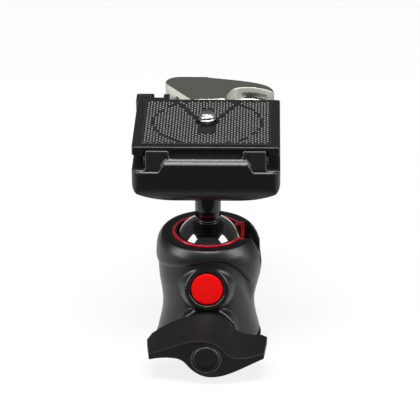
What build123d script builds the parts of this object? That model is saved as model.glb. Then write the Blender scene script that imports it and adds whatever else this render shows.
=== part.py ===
from build123d import *
import math
import os

# Tripod ball head. Origin: centre of the base's underside, +Z up, the locking knob towards -Y, mm.

os.makedirs("parts", exist_ok=True)

# Fits
RUN_FIT = 0.05  # radial, a shaft in its hole
FLAT_FIT = 0.05  # between faces that slide on each other
BALL_FIT = 0.08  # between the ball and its seats
LOOSE_FIT = 0.3  # between parts that only pass each other
CUT_PAST = 1.0  # how far a cut runs past the face it opens

# Base and panning bearing
BASE_R = 19.6
BASE_THICK = 2.6
BASE_EDGE = 0.4
HUB_R = 8.1
HUB_TOP = 7.6
TRIPOD_THREAD_R = 4.0  # tapping drill of a 3/8 inch thread
TRIPOD_THREAD_DEPTH = 6.6
PAN_WASHER_THICK = 0.4
PAN_WASHER_IN_R = 9.0
PAN_WASHER_OUT_R = 18.2
HUB_GROOVE_DEPTH = 0.75
FLOOR_THICK = 1.5
THRUST_WASHER_THICK = 0.2
THRUST_WASHER_OUT_R = 11.0
CLIP_THICK = 0.8
HUB_CLIP_OUT_R = 10.6
CLIP_GAP = 5.0
FLOOR_CLIP_RISE = 0.35
FLOOR_CLIP_IN_R = 13.6
FLOOR_CLIP_BITE = 1.2

# Housing
WAIST_R = 17.05
WAIST_Z = 15.8
FOOT_SETBACK = 0.55  # of the housing from the base plate's edge
FOOT_RISE = 1.4
FOOT_EDGE = 0.4
FOOT_LEAN = -0.25  # inward per unit of height, where the side leaves the foot
SHOULDER_LEAN = -0.12
BELLY_R = 19.2
BELLY_Z = 35.0
SHOULDER_TUCK = 0.25
SHOULDER_DROP = 4.2
TOP_TUCK = 2.3
TOP_RISE = 7.2  # above the ball's centre
LIP_THICK = 2.0

# Ball, stem and seats
BALL_R = 13.0
BALL_Z = 37.4
NECK_R = 3.9
NECK_SEAT = 11.7
SLEEVE_R = 4.85
SLEEVE_RISE = 12.55
SEAT_WALL = 2.3  # room between ball and housing
SLEEVE_EDGE = 0.4
SLOT_HALF = 5.95
SEAT_DROP = 0.4
CUP_RIM_DROP = 8.8
PISTON_TOP_DROP = 11.9
PISTON_HEIGHT = 9.3
PISTON_FOOT_R = 4.5

# Accent ring
ACCENT_IN_R = 12.05
ACCENT_WALL = 1.2
ACCENT_DEPTH = 0.8
ACCENT_PROUD = 0.15
ACCENT_TAIL_DROP = 6.0
ACCENT_TAIL_IN_X = 11.95

# Badge
BADGE_R = 5.85
BADGE_THICK = 1.2
BADGE_Z = 30.4
BADGE_PROUD = 1.0  # of its plane from the belly
BADGE_TILT = 8.0
BADGE_GAP = 0.45
BADGE_RECESS_DEPTH = 1.5
BADGE_RIM = 1.7
BADGE_BOSS_DEEP = 4.0
BADGE_BOSS_FLARE = 30.0

# Locking knob and spindle
KNOB_Z = 11.0
SPINDLE_R = 3.0
SPINDLE_NOSE_R = 2.0
SPINDLE_NOSE_LENGTH = 2.85
SPINDLE_EDGE = 0.6
SPINDLE_BOSS_R = 11.1
SPINDLE_BOSS_Y = -19.1
SPINDLE_BOSS_ROUND = 1.2
BUSH_R = 4.4
BUSH_FLANGE_R = 4.9
BUSH_FLANGE_THICK = 1.1
BUSH_LENGTH = 4.8
WEDGE_FRONT_Y = -6.0
WEDGE_BACK_Y = 8.0
WEDGE_HALF_WIDTH = 3.0
WEDGE_HALF_HEIGHT = 2.0
WEDGE_SLOPE = 0.2
BRAKE_PAD_R = 2.8
KNOB_GAP = 0.85  # behind its hub
KNOB_LENGTH = 17.05
KNOB_HUB_R = 7.3
KNOB_BACK_R = 10.4
KNOB_REACH = 20.6
KNOB_BACK_REACH = 22.2
KNOB_HUB_STEP = 2.05
KNOB_SWEEP = 2.6
KNOB_HEEL_CUT = 2.0  # off the wings' rear corners
WING_TIP_HIGH = 1.4  # right tip, above the axis
WING_TIP_LOW = 1.0  # right tip, below the axis
WING_DIP_X = 12.4  # lowest place of the right wing's top
WING_DIP_Z = -0.2
WING_ROOT_X = 5.5  # where the hub runs down into the right wing
WING_ROOT_Z = 4.2
WING_HEEL_X = 9.1
WING_HEEL_Z = 0.5
WING_SHOULDER_X = 11.8  # the left wing's top, halfway out
WING_SHOULDER_Z = 4.65
BACK_TIP_HIGH = 2.4  # the same places on the wings' back
BACK_TIP_LOW = 0.8
BACK_DIP_X = 13.2
BACK_DIP_Z = 2.9
BACK_ROOT_X = 7.6
BACK_ROOT_Z = 7.6
BACK_HEEL_X = 10.3
BACK_HEEL_Z = 4.4
BACK_SHOULDER_X = 11.6
BACK_SHOULDER_Z = 7.9
INSERT_R = 4.6
INSERT_SETBACK = 0.4
INSERT_LENGTH = 9.0
KNOB_CAP_R = 5.75
KNOB_CAP_THICK = 1.2
KNOB_CAP_SINK = 0.3
KNOB_CAP_EDGE = 0.3
KNOB_SCREW_R = 1.5
KNOB_SCREW_HEAD_R = 2.9
KNOB_SCREW_HEAD_THICK = 2.0
KNOB_SCREW_HEX_R = 1.45
KNOB_SCREW_LENGTH = 8.0

# Plate
PLATE_WIDTH = 52.5
PLATE_DEPTH = 42.5
PLATE_HEIGHT = 8.75
PLATE_BED_GAP = 0.15
PLATE_FLANGE = 3.4
PLATE_LIP = 1.3
PLATE_LUG_LENGTH = 4.25
BEVEL_TOP_INSET = 1.95
BEVEL_LOW_INSET = 0.05
BEVEL_RISE = 3.35
PLATE_CORNER_R = 1.2
PAD_SIDE_MARGIN = 3.25
PAD_END_MARGIN = 2.25
PAD_THICK = 1.3
PAD_PROUD = 0.7
PAD_HOLE_R = 5.1
PAD_EDGE = 0.3
PLATE_HOLE_R = 2.75
RING_POCKET_R = 9.6
RING_POCKET_DEPTH = 4.0

# Camera screw
CAMERA_THREAD_R = 3.175
CAMERA_SCREW_PROUD = 3.4  # above the pad
CAMERA_THREAD_LENGTH = 3.55
CAMERA_THREAD_EDGE = 0.45
CAMERA_NECK_R = 2.5
CAMERA_HEAD_R = 6.4
CAMERA_HEAD_THICK = 2.6
CAMERA_SLOT_WIDTH = 1.6
CAMERA_SLOT_DEPTH = 1.2
SCREW_RING_R = 4.5
SCREW_RING_THICK = 0.6
D_RING_R = 8.1
D_RING_WIRE_R = 0.7

# Receiver
RECEIVER_OVERHANG = 0.1  # past the plate, on each side
FRONT_WALL_REACH = 2.75  # past the plate
RECEIVER_BACK_INSET = 0.25
RECEIVER_LOW_Z = 64.3
RECEIVER_FLOOR_RISE = 14.7
RECEIVER_SIDE_RISE = 5.4
RECEIVER_CORNER_RUN = 2.5
RECEIVER_CORNER_RISE = 3.9
RECEIVER_PLAN_R = 3.6
CHIN_HEIGHT = 10.7
HEEL_HEIGHT = 9.7
CHIN_LENGTH = 12.0
CHIN_MID_Y = 4.5
CHIN_MID_Z = 2.0
HEEL_LENGTH = 9.0
HEEL_MID_Y = 2.5
HEEL_MID_Z = 2.6
FRONT_WALL_HEIGHT = 5.1
FRONT_WALL_SHOULDER = 0.8
FRONT_WALL_GAP = 0.35
FRONT_WALL_HALF = 14.0
FRONT_WALL_RUN = 3.3
JAW_IN_X = 13.0
JAW_WIDTH = 8.4
JAW_HEIGHT = 7.5
JAW_LEAN = 2.6
JAW_SETBACK = 0.5
JAW_ROOT = 2.0
JAW_BEVEL_DROP = 0.2
PIVOT_INSET = 7.35
PIVOT_OUT = 5.75
PIVOT_R = 2.0
PIN_TOP_DROP = 3.0
EAR_R = 6.4
EAR_RISE = 4.7
EAR_THICK = 7.3
EAR_ROOT = 4.0
PIN_TAIL = 2.2
PIVOT_GROOVE_DEPTH = 0.5
PIVOT_CLIP_R = 3.6
RECEIVER_SCREW_R = 2.0
RECEIVER_SCREW_LENGTH = 11.0
RECEIVER_SCREW_HEAD_R = 3.8
RECEIVER_SCREW_HEAD_THICK = 2.4
RECEIVER_SCREW_HEX_R = 2.0
DOWEL_R = 0.8
DOWEL_LENGTH = 6.0

# Lever
LEVER_HEIGHT = 10.4
LEVER_HEEL_R = 5.2
LEVER_REACH = 35.8
LEVER_TIP_ROUND = 5.5
LEVER_DEPTH = 17.7
LEVER_ROOT_REACH = 30.7
LEVER_FLANK_X = 3.6  # the rear outline's points, from the pivot
LEVER_FLANK_Y = 7.8
LEVER_SHOULDER_X = -5.0
LEVER_SHOULDER_Y = 13.4
LEVER_CREST_X = -20.2
LEVER_CREST_Y = 17.4
LEVER_JAW_REACH = 31.0
LEVER_JAW_WIDTH = 21.0
LEVER_JAW_RISE = 0.35
LEVER_SPRING_POCKET_R = 4.1
LEVER_SPRING_POCKET_DEPTH = 4.6
LEVER_SPRING_R = 3.1
LEVER_SPRING_WIRE_R = 0.35
LEVER_SPRING_HEIGHT = 3.0
LEVER_SPRING_PITCH = 0.95

# Trigger pin
TRIGGER_X = -13.5
TRIGGER_Y = 6.0
TRIGGER_R = 2.0
TRIGGER_FOOT_R = 3.0
TRIGGER_FOOT_THICK = 1.0
TRIGGER_FOOT_DEPTH = 5.6
TRIGGER_EDGE = 0.4
TRIGGER_WELL_DEPTH = 10.5
TRIGGER_SPRING_R = 2.2
TRIGGER_SPRING_WIRE_R = 0.3
TRIGGER_SPRING_PITCH = 1.1

# Safety catch
CATCH_OVERHANG = 0.7
CATCH_WIDTH = 6.6
CATCH_GAP = 0.95  # behind the plate
CATCH_DEPTH = 8.1
CATCH_HEIGHT = 3.75
CATCH_TRAVEL = 3.2
CATCH_EDGE_R = 1.0
CATCH_RIBS = 3
CATCH_RIB_PITCH = 1.7
CATCH_RIB_R = 0.45
CATCH_RIB_INSET = 1.2
CATCH_KEY_HALF = 1.5
CATCH_KEY_FLARE = 0.5
CATCH_KEY_DEPTH = 1.6
TONGUE_HALF_WIDTH = 1.0
TONGUE_INSET = 1.8
TONGUE_RISE = 0.55
TONGUE_HEIGHT = 2.0
GUARD_GAP = 0.2
GUARD_THICK = 2.3
CATCH_SEAT_RISE = 6.1
CATCH_EAR_ROUND = 3.0
CATCH_EAR_WALL = 0.8

# Places that follow from the sizes above: base and housing
WASHER_TOP_Z = BASE_THICK + PAN_WASHER_THICK
HOUSING_LOW_Z = WASHER_TOP_Z + FLAT_FIT
FLOOR_CLIP_Z = HOUSING_LOW_Z + FLOOR_CLIP_RISE
FLOOR_Z = FLOOR_CLIP_Z + CLIP_THICK + FLAT_FIT
FLOOR_TOP_Z = FLOOR_Z + FLOOR_THICK
THRUST_WASHER_Z = FLOOR_TOP_Z + FLAT_FIT
HUB_CLIP_Z = THRUST_WASHER_Z + THRUST_WASHER_THICK + FLAT_FIT
FOOT_R = BASE_R - FOOT_SETBACK
SHOULDER_R = BELLY_R - SHOULDER_TUCK
TOP_R = BELLY_R - TOP_TUCK
TOP_Z = BALL_Z + TOP_RISE
BORE_R = BALL_R + SEAT_WALL

# Seats, cup and piston
SEAT_R = BALL_R + BALL_FIT
SEAT_LOW_Z = BALL_Z - SEAT_DROP
SEAT_TOP_Z = TOP_Z - LIP_THICK
CUP_R = BORE_R - LOOSE_FIT
PISTON_TOP_Z = BALL_Z - PISTON_TOP_DROP
PISTON_LOW_Z = PISTON_TOP_Z - PISTON_HEIGHT
ACCENT_OUT_R = ACCENT_IN_R + ACCENT_WALL
ACCENT_TAIL_LOW_Z = TOP_Z - ACCENT_TAIL_DROP
WEDGE_FRONT_HALF = WEDGE_HALF_HEIGHT - WEDGE_SLOPE * WEDGE_FRONT_Y
WEDGE_BACK_HALF = WEDGE_HALF_HEIGHT - WEDGE_SLOPE * WEDGE_BACK_Y

# Badge and knob
BADGE_Y = -BELLY_R - BADGE_PROUD
BADGE_RECESS_R = BADGE_R + BADGE_GAP
BADGE_BOSS_R = BADGE_RECESS_R + BADGE_RIM
BUSH_FLANGE_Y = SPINDLE_BOSS_Y + BUSH_LENGTH
KNOB_HUB_BACK_Y = SPINDLE_BOSS_Y - KNOB_GAP
KNOB_FRONT_Y = KNOB_HUB_BACK_Y - KNOB_LENGTH
WING_BACK_Y = KNOB_HUB_BACK_Y - KNOB_HUB_STEP

# Receiver
RECEIVER_WIDTH = PLATE_WIDTH + 2 * RECEIVER_OVERHANG
RECEIVER_FRONT_Y = -PLATE_DEPTH / 2 - FRONT_WALL_REACH
RECEIVER_BACK_Y = PLATE_DEPTH / 2 - RECEIVER_BACK_INSET
RECEIVER_FLOOR_Z = RECEIVER_LOW_Z + RECEIVER_FLOOR_RISE
RECEIVER_FRONT_TURN_Z = RECEIVER_LOW_Z + CHIN_HEIGHT
RECEIVER_BACK_TURN_Z = RECEIVER_LOW_Z + HEEL_HEIGHT
FRONT_WALL_TOP_Z = RECEIVER_FLOOR_Z + FRONT_WALL_HEIGHT
FRONT_WALL_SHOULDER_Z = RECEIVER_FLOOR_Z + FRONT_WALL_SHOULDER
FRONT_WALL_INNER_Y = -PLATE_DEPTH / 2 - FRONT_WALL_GAP
FRONT_WALL_SHOULDER_X = FRONT_WALL_HALF + FRONT_WALL_RUN
JAW_TOP_Z = RECEIVER_FLOOR_Z + JAW_HEIGHT
JAW_FRONT_TOP_Y = RECEIVER_FRONT_Y + JAW_LEAN
SLEEVE_START = BALL_Z + SLEEVE_RISE
NECK_END = RECEIVER_LOW_Z + NECK_SEAT

# Plate and camera screw
PLATE_LOW_Z = RECEIVER_FLOOR_Z + PLATE_BED_GAP
PLATE_TOP_Z = PLATE_LOW_Z + PLATE_HEIGHT
PLATE_NECK_HALF_WIDTH = PLATE_WIDTH / 2 - PLATE_LUG_LENGTH
BEVEL_TOP_Y = PLATE_DEPTH / 2 - BEVEL_TOP_INSET
BEVEL_LOW_Y = PLATE_DEPTH / 2 - BEVEL_LOW_INSET
BEVEL_LOW_Z = PLATE_LOW_Z + BEVEL_RISE
PAD_WIDTH = PLATE_WIDTH - 2 * PAD_SIDE_MARGIN
PAD_DEPTH = PLATE_DEPTH - 2 * PAD_END_MARGIN
PAD_LOW_Z = PLATE_TOP_Z - PAD_THICK + PAD_PROUD
CAMERA_SCREW_TOP_Z = PAD_LOW_Z + PAD_THICK + CAMERA_SCREW_PROUD
CAMERA_THREAD_LOW_Z = CAMERA_SCREW_TOP_Z - CAMERA_THREAD_LENGTH

# Lever and its pivot
PIVOT_X = RECEIVER_WIDTH / 2 - PIVOT_INSET
PIVOT_Y = PLATE_DEPTH / 2 + PIVOT_OUT
EAR_LOW_Z = RECEIVER_LOW_Z + EAR_RISE
EAR_TOP_Z = EAR_LOW_Z + EAR_THICK
LEVER_LOW_Z = EAR_TOP_Z + LOOSE_FIT
LEVER_TOP_Z = LEVER_LOW_Z + LEVER_HEIGHT
PIVOT_TOP_Z = LEVER_TOP_Z - PIN_TOP_DROP
LEVER_TIP_X = PIVOT_X - LEVER_REACH
LEVER_BACK_Y = PIVOT_Y + LEVER_DEPTH
LEVER_ROOT_X = PIVOT_X - LEVER_ROOT_REACH
LEVER_JAW_LEFT_X = PIVOT_X - LEVER_JAW_REACH
LEVER_JAW_RIGHT_X = LEVER_JAW_LEFT_X + LEVER_JAW_WIDTH
LEVER_JAW_LOW_Z = PLATE_LOW_Z + LEVER_JAW_RISE
LEVER_JAW_TOP_Z = PLATE_TOP_Z - PLATE_LIP - LOOSE_FIT

# Trigger pin and safety catch
TRIGGER_FOOT_Z = RECEIVER_FLOOR_Z - TRIGGER_FOOT_DEPTH
TRIGGER_WELL_LOW_Z = RECEIVER_FLOOR_Z - TRIGGER_WELL_DEPTH
CATCH_EAR_LEFT_X = -RECEIVER_WIDTH / 2
CATCH_LEFT_X = CATCH_EAR_LEFT_X - CATCH_OVERHANG
CATCH_RIGHT_X = CATCH_LEFT_X + CATCH_WIDTH
CATCH_FRONT_Y = PLATE_DEPTH / 2 + CATCH_GAP
CATCH_BACK_Y = CATCH_FRONT_Y + CATCH_DEPTH
CATCH_MID_Y = (CATCH_FRONT_Y + CATCH_BACK_Y) / 2
CATCH_SEAT_Z = EAR_TOP_Z + CATCH_SEAT_RISE
CATCH_LOW_Z = CATCH_SEAT_Z + FLAT_FIT
CATCH_TOP_Z = CATCH_LOW_Z + CATCH_HEIGHT
GUARD_LEFT_X = CATCH_RIGHT_X + CATCH_TRAVEL + GUARD_GAP
GUARD_RIGHT_X = GUARD_LEFT_X + GUARD_THICK
TONGUE_Y = CATCH_BACK_Y - TONGUE_INSET
TONGUE_MID_Z = CATCH_LOW_Z + TONGUE_RISE + TONGUE_HEIGHT / 2
KEY_SLOT_LEFT_X = CATCH_EAR_LEFT_X + CATCH_EAR_WALL

BADGE_PLANE = Plane(
    origin=(0, BADGE_Y, BADGE_Z),
    x_dir=(1, 0, 0),
    z_dir=(0, -math.cos(math.radians(BADGE_TILT)), math.sin(math.radians(BADGE_TILT))),
)


def knob_plane(y):
    """A plane square to the knob's axis, seen from the front: x stays x, y is up."""
    return Plane(origin=(0, y, KNOB_Z), x_dir=(1, 0, 0), z_dir=(0, -1, 0))


def coil(radius, wire, pitch, height, place):
    """A close helical spring with open ends, standing on a plane."""
    with BuildPart(place) as spring:
        with BuildLine():
            turns = Helix(pitch, height, radius)
        with BuildSketch(Plane(origin=turns @ 0, z_dir=turns % 0)):
            Circle(wire)
        sweep(path=turns, is_frenet=True)
    return spring.part


def catch_key(x, gap):
    """Section of the catch's dovetail key, grown by a gap, on a plane square to its travel."""
    with BuildSketch(Plane.YZ.offset(x)) as section:
        with BuildLine():
            Polyline(
                (CATCH_MID_Y - CATCH_KEY_HALF - gap, CATCH_LOW_Z),
                (CATCH_MID_Y - CATCH_KEY_HALF - CATCH_KEY_FLARE - gap, CATCH_LOW_Z - CATCH_KEY_DEPTH - gap),
                (CATCH_MID_Y + CATCH_KEY_HALF + CATCH_KEY_FLARE + gap, CATCH_LOW_Z - CATCH_KEY_DEPTH - gap),
                (CATCH_MID_Y + CATCH_KEY_HALF + gap, CATCH_LOW_Z),
                close=True,
            )
        make_face()
    return section.sketch


# Base plate: the disc that sits on the tripod, with the hub that the head pans on
with BuildPart() as base_plate:
    with BuildSketch():
        Circle(BASE_R)
    extrude(amount=BASE_THICK)
    chamfer(base_plate.edges().filter_by(GeomType.CIRCLE), BASE_EDGE)
    with BuildSketch():
        Circle(HUB_R)
    extrude(amount=HUB_TOP)
    with BuildSketch(Plane.XY.offset(HUB_CLIP_Z)):
        Circle(HUB_R)
        Circle(HUB_R - HUB_GROOVE_DEPTH, mode=Mode.SUBTRACT)
    extrude(amount=CLIP_THICK + FLAT_FIT, mode=Mode.SUBTRACT)
    with BuildSketch():
        Circle(TRIPOD_THREAD_R)
    extrude(amount=TRIPOD_THREAD_DEPTH, mode=Mode.SUBTRACT)
base_plate.part.label = "base_plate"
export_step(base_plate.part, "parts/base_plate.step")

# Washer that the housing pans on
with BuildPart() as pan_friction_washer:
    with BuildSketch(Plane.XY.offset(BASE_THICK)):
        Circle(PAN_WASHER_OUT_R)
        Circle(PAN_WASHER_IN_R, mode=Mode.SUBTRACT)
    extrude(amount=PAN_WASHER_THICK)
pan_friction_washer.part.label = "pan_friction_washer"
export_step(pan_friction_washer.part, "parts/pan_friction_washer.step")

# Clip in the hub's groove, which keeps the head on the base
with BuildPart() as pan_retaining_ring:
    with BuildSketch(Plane.XY.offset(HUB_CLIP_Z)):
        Circle(HUB_CLIP_OUT_R)
        Circle(HUB_R - HUB_GROOVE_DEPTH + RUN_FIT, mode=Mode.SUBTRACT)
        with Locations((0, HUB_R)):
            Rectangle(CLIP_GAP, 2 * HUB_R, mode=Mode.SUBTRACT)
    extrude(amount=CLIP_THICK)
pan_retaining_ring.part.label = "pan_retaining_ring"
export_step(pan_retaining_ring.part, "parts/pan_retaining_ring.step")

# Thin washer between that clip and the housing's floor
with BuildPart() as pan_thrust_washer:
    with BuildSketch(Plane.XY.offset(THRUST_WASHER_Z)):
        Circle(THRUST_WASHER_OUT_R)
        Circle(HUB_R + RUN_FIT, mode=Mode.SUBTRACT)
    extrude(amount=THRUST_WASHER_THICK)
pan_thrust_washer.part.label = "pan_thrust_washer"
export_step(pan_thrust_washer.part, "parts/pan_thrust_washer.step")

# Floor disc: closes the housing below and turns on the hub
with BuildPart() as floor_disc:
    with BuildSketch(Plane.XY.offset(FLOOR_Z)):
        Circle(BORE_R - RUN_FIT)
        Circle(HUB_R + RUN_FIT, mode=Mode.SUBTRACT)
    extrude(amount=FLOOR_THICK)
floor_disc.part.label = "floor_disc"
export_step(floor_disc.part, "parts/floor_disc.step")

# Inside clip that holds the floor disc in the housing
with BuildPart() as floor_circlip:
    with BuildSketch(Plane.XY.offset(FLOOR_CLIP_Z)):
        Circle(BORE_R + FLOOR_CLIP_BITE - RUN_FIT)
        Circle(FLOOR_CLIP_IN_R, mode=Mode.SUBTRACT)
        with Locations((0, FLOOR_CLIP_IN_R)):
            Rectangle(CLIP_GAP, FLOOR_CLIP_IN_R, mode=Mode.SUBTRACT)
    extrude(amount=CLIP_THICK)
floor_circlip.part.label = "floor_circlip"
export_step(floor_circlip.part, "parts/floor_circlip.step")

# Accent ring: an open ring round the ball whose ends turn down into the drop slot
ACCENT_END_X = math.sqrt(ACCENT_IN_R**2 - SLOT_HALF**2) - ACCENT_WALL / 2
with BuildSketch() as accent_plan:
    Circle(ACCENT_OUT_R)
    Circle(ACCENT_IN_R, mode=Mode.SUBTRACT)
    with Locations((ACCENT_OUT_R, 0)):
        Rectangle(2 * ACCENT_OUT_R, 2 * SLOT_HALF, mode=Mode.SUBTRACT)
    for side in (1, -1):
        with Locations((ACCENT_END_X, side * (SLOT_HALF + ACCENT_WALL / 2))):
            Rectangle(
                ACCENT_TAIL_IN_X + ACCENT_WALL - ACCENT_END_X, ACCENT_WALL, align=(Align.MIN, Align.CENTER)
            )
with BuildSketch() as accent_tails:
    for side in (1, -1):
        with Locations((ACCENT_TAIL_IN_X + ACCENT_WALL / 2, side * (SLOT_HALF + ACCENT_WALL / 2))):
            Rectangle(ACCENT_WALL, ACCENT_WALL)
with BuildPart() as accent_ring:
    with BuildSketch(Plane.XY.offset(TOP_Z - ACCENT_DEPTH)):
        add(accent_plan.sketch)
    extrude(amount=ACCENT_DEPTH + ACCENT_PROUD)
    with BuildSketch(Plane.XY.offset(ACCENT_TAIL_LOW_Z)):
        add(accent_tails.sketch)
    extrude(amount=TOP_Z + ACCENT_PROUD - ACCENT_TAIL_LOW_Z)
accent_ring.part.label = "accent_ring"
export_step(accent_ring.part, "parts/accent_ring.step")

# Housing: the waisted casting that pans, holds the ball and carries the knob
with BuildPart() as housing:
    with BuildSketch(knob_plane(SPINDLE_BOSS_Y)):
        Circle(SPINDLE_BOSS_R)
    extrude(amount=SPINDLE_BOSS_Y + BUSH_FLANGE_R)
    fillet(housing.faces().sort_by(Axis.Y)[0].edges(), SPINDLE_BOSS_ROUND)
    with BuildSketch(BADGE_PLANE):
        Circle(BADGE_BOSS_R)
    extrude(amount=-BADGE_BOSS_DEEP, taper=-BADGE_BOSS_FLARE)
    with BuildSketch(Plane.XZ):
        with BuildLine():
            foot_line = Line((0, HOUSING_LOW_Z), (FOOT_R - FOOT_EDGE, HOUSING_LOW_Z))
            foot_round = Line(foot_line @ 1, (FOOT_R, HOUSING_LOW_Z + FOOT_RISE))
            side = Spline(
                foot_round @ 1,
                (WAIST_R, WAIST_Z),
                (BELLY_R, BELLY_Z),
                (SHOULDER_R, TOP_Z - SHOULDER_DROP),
                tangents=[(FOOT_LEAN, 1), (SHOULDER_LEAN, 1)],
            )
            shoulder = TangentArc(side @ 1, (TOP_R, TOP_Z), tangent=side % 1)
            top_line = Line(shoulder @ 1, (0, TOP_Z))
            Line(top_line @ 1, foot_line @ 0)
        make_face()
    revolve(axis=Axis.Z)
    # Below the housing's rim the spindle boss is cut flat
    with BuildSketch(Plane.XY.offset(HOUSING_LOW_Z)):
        Circle(2 * BASE_R)
    extrude(amount=-SPINDLE_BOSS_R, mode=Mode.SUBTRACT)
    # Main bore, then the lip over the ball
    with BuildSketch():
        Circle(BORE_R)
    extrude(amount=SEAT_TOP_Z, mode=Mode.SUBTRACT)
    with Locations((0, 0, BALL_Z)):
        Sphere(BALL_R + LOOSE_FIT, mode=Mode.SUBTRACT)
    # Groove of the floor's clip
    with BuildSketch(Plane.XY.offset(FLOOR_CLIP_Z - FLAT_FIT)):
        Circle(BORE_R + FLOOR_CLIP_BITE)
    extrude(amount=CLIP_THICK + 2 * FLAT_FIT, mode=Mode.SUBTRACT)
    # Drop slot for the stem, on the +X side
    with BuildSketch(Plane.YZ.offset(BALL_R / 2)):
        with Locations((0, BALL_Z)):
            Circle(SLOT_HALF)
        with Locations((0, BALL_Z)):
            Rectangle(2 * SLOT_HALF, TOP_Z - BALL_Z + CUT_PAST, align=(Align.CENTER, Align.MIN))
    extrude(amount=BELLY_R, mode=Mode.SUBTRACT)
    # Seat of the accent ring
    with BuildSketch(Plane.XY.offset(TOP_Z - ACCENT_DEPTH)):
        add(accent_plan.sketch)
    extrude(amount=ACCENT_DEPTH, mode=Mode.SUBTRACT)
    with BuildSketch(Plane.XY.offset(ACCENT_TAIL_LOW_Z)):
        add(accent_tails.sketch)
    extrude(amount=TOP_Z - ACCENT_TAIL_LOW_Z, mode=Mode.SUBTRACT)
    # Recess of the badge
    with BuildSketch(BADGE_PLANE):
        Circle(BADGE_RECESS_R)
    extrude(amount=-BADGE_RECESS_DEPTH, mode=Mode.SUBTRACT)
    # Hole of the spindle's bush
    with BuildSketch(knob_plane(SPINDLE_BOSS_Y)):
        Circle(BUSH_R)
    extrude(amount=SPINDLE_BOSS_Y, mode=Mode.SUBTRACT)
housing.part.label = "housing"
export_step(housing.part, "parts/housing.step")

# Badge disc: a plain domed disc glued in its recess
with BuildPart() as badge_disc:
    with BuildSketch(BADGE_PLANE.offset(-BADGE_RECESS_DEPTH)):
        Circle(BADGE_R)
    extrude(amount=BADGE_THICK)
    fillet(badge_disc.faces().sort_by(Axis.Y)[0].edges(), BADGE_THICK / 3)
badge_disc.part.label = "badge_disc"
export_step(badge_disc.part, "parts/badge_disc.step")

# Upper seat: the liner that the ball is pressed against, open at the drop slot
with BuildPart() as upper_seat:
    with BuildSketch(Plane.XY.offset(SEAT_LOW_Z)):
        Circle(BORE_R - RUN_FIT)
    extrude(amount=SEAT_TOP_Z - SEAT_LOW_Z)
    with Locations((0, 0, BALL_Z)):
        Sphere(SEAT_R, mode=Mode.SUBTRACT)
    with BuildSketch(Plane.XY.offset(SEAT_LOW_Z)):
        with Locations((BORE_R, 0)):
            Rectangle(2 * BORE_R, 2 * (SLOT_HALF + ACCENT_WALL + RUN_FIT))
    extrude(amount=SEAT_TOP_Z - SEAT_LOW_Z, mode=Mode.SUBTRACT)
upper_seat.part.label = "upper_seat"
export_step(upper_seat.part, "parts/upper_seat.step")

# Friction cup: the loose cup under the ball, which tips with it fore and aft
with BuildPart() as friction_cup:
    with Locations((0, 0, BALL_Z)):
        Sphere(CUP_R)
        Sphere(SEAT_R, mode=Mode.SUBTRACT)
    split(bisect_by=Plane.XY.offset(BALL_Z - CUP_RIM_DROP), keep=Keep.BOTTOM)
friction_cup.part.label = "friction_cup"
export_step(friction_cup.part, "parts/friction_cup.step")

# Push piston: presses the cup up; its foot stands on the wedge
with BuildPart() as push_piston:
    with BuildSketch(Plane.XY.offset(PISTON_LOW_Z)):
        Circle(BORE_R - RUN_FIT)
    extrude(amount=PISTON_TOP_Z - PISTON_LOW_Z)
    with Locations((0, 0, BALL_Z)):
        Sphere(CUP_R + BALL_FIT, mode=Mode.SUBTRACT)
    with BuildSketch(Plane.XY.offset(KNOB_Z)):
        Circle(PISTON_FOOT_R)
    extrude(amount=PISTON_LOW_Z - KNOB_Z)
    with BuildSketch(Plane.YZ.offset(-PISTON_FOOT_R)):
        with BuildLine():
            Polyline(
                (-PISTON_FOOT_R, KNOB_Z - CUT_PAST),
                (PISTON_FOOT_R, KNOB_Z - CUT_PAST),
                (PISTON_FOOT_R, KNOB_Z + WEDGE_HALF_HEIGHT + FLAT_FIT - WEDGE_SLOPE * PISTON_FOOT_R),
                (-PISTON_FOOT_R, KNOB_Z + WEDGE_HALF_HEIGHT + FLAT_FIT + WEDGE_SLOPE * PISTON_FOOT_R),
                close=True,
            )
        make_face()
    extrude(amount=2 * PISTON_FOOT_R, mode=Mode.SUBTRACT)
push_piston.part.label = "push_piston"
export_step(push_piston.part, "parts/push_piston.step")

# Lock wedge: a double taper on the spindle's nose, drives the piston up and the brake down
with BuildPart() as lock_wedge:
    with BuildSketch(Plane.YZ.offset(-WEDGE_HALF_WIDTH)):
        with BuildLine():
            Polyline(
                (WEDGE_FRONT_Y, KNOB_Z - WEDGE_FRONT_HALF),
                (WEDGE_BACK_Y, KNOB_Z - WEDGE_BACK_HALF),
                (WEDGE_BACK_Y, KNOB_Z + WEDGE_BACK_HALF),
                (WEDGE_FRONT_Y, KNOB_Z + WEDGE_FRONT_HALF),
                close=True,
            )
        make_face()
    extrude(amount=2 * WEDGE_HALF_WIDTH)
    with BuildSketch(knob_plane(WEDGE_FRONT_Y)):
        Circle(SPINDLE_NOSE_R + RUN_FIT)
    extrude(amount=-(SPINDLE_NOSE_LENGTH + 2 * FLAT_FIT), mode=Mode.SUBTRACT)
lock_wedge.part.label = "lock_wedge"
export_step(lock_wedge.part, "parts/lock_wedge.step")

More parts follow.
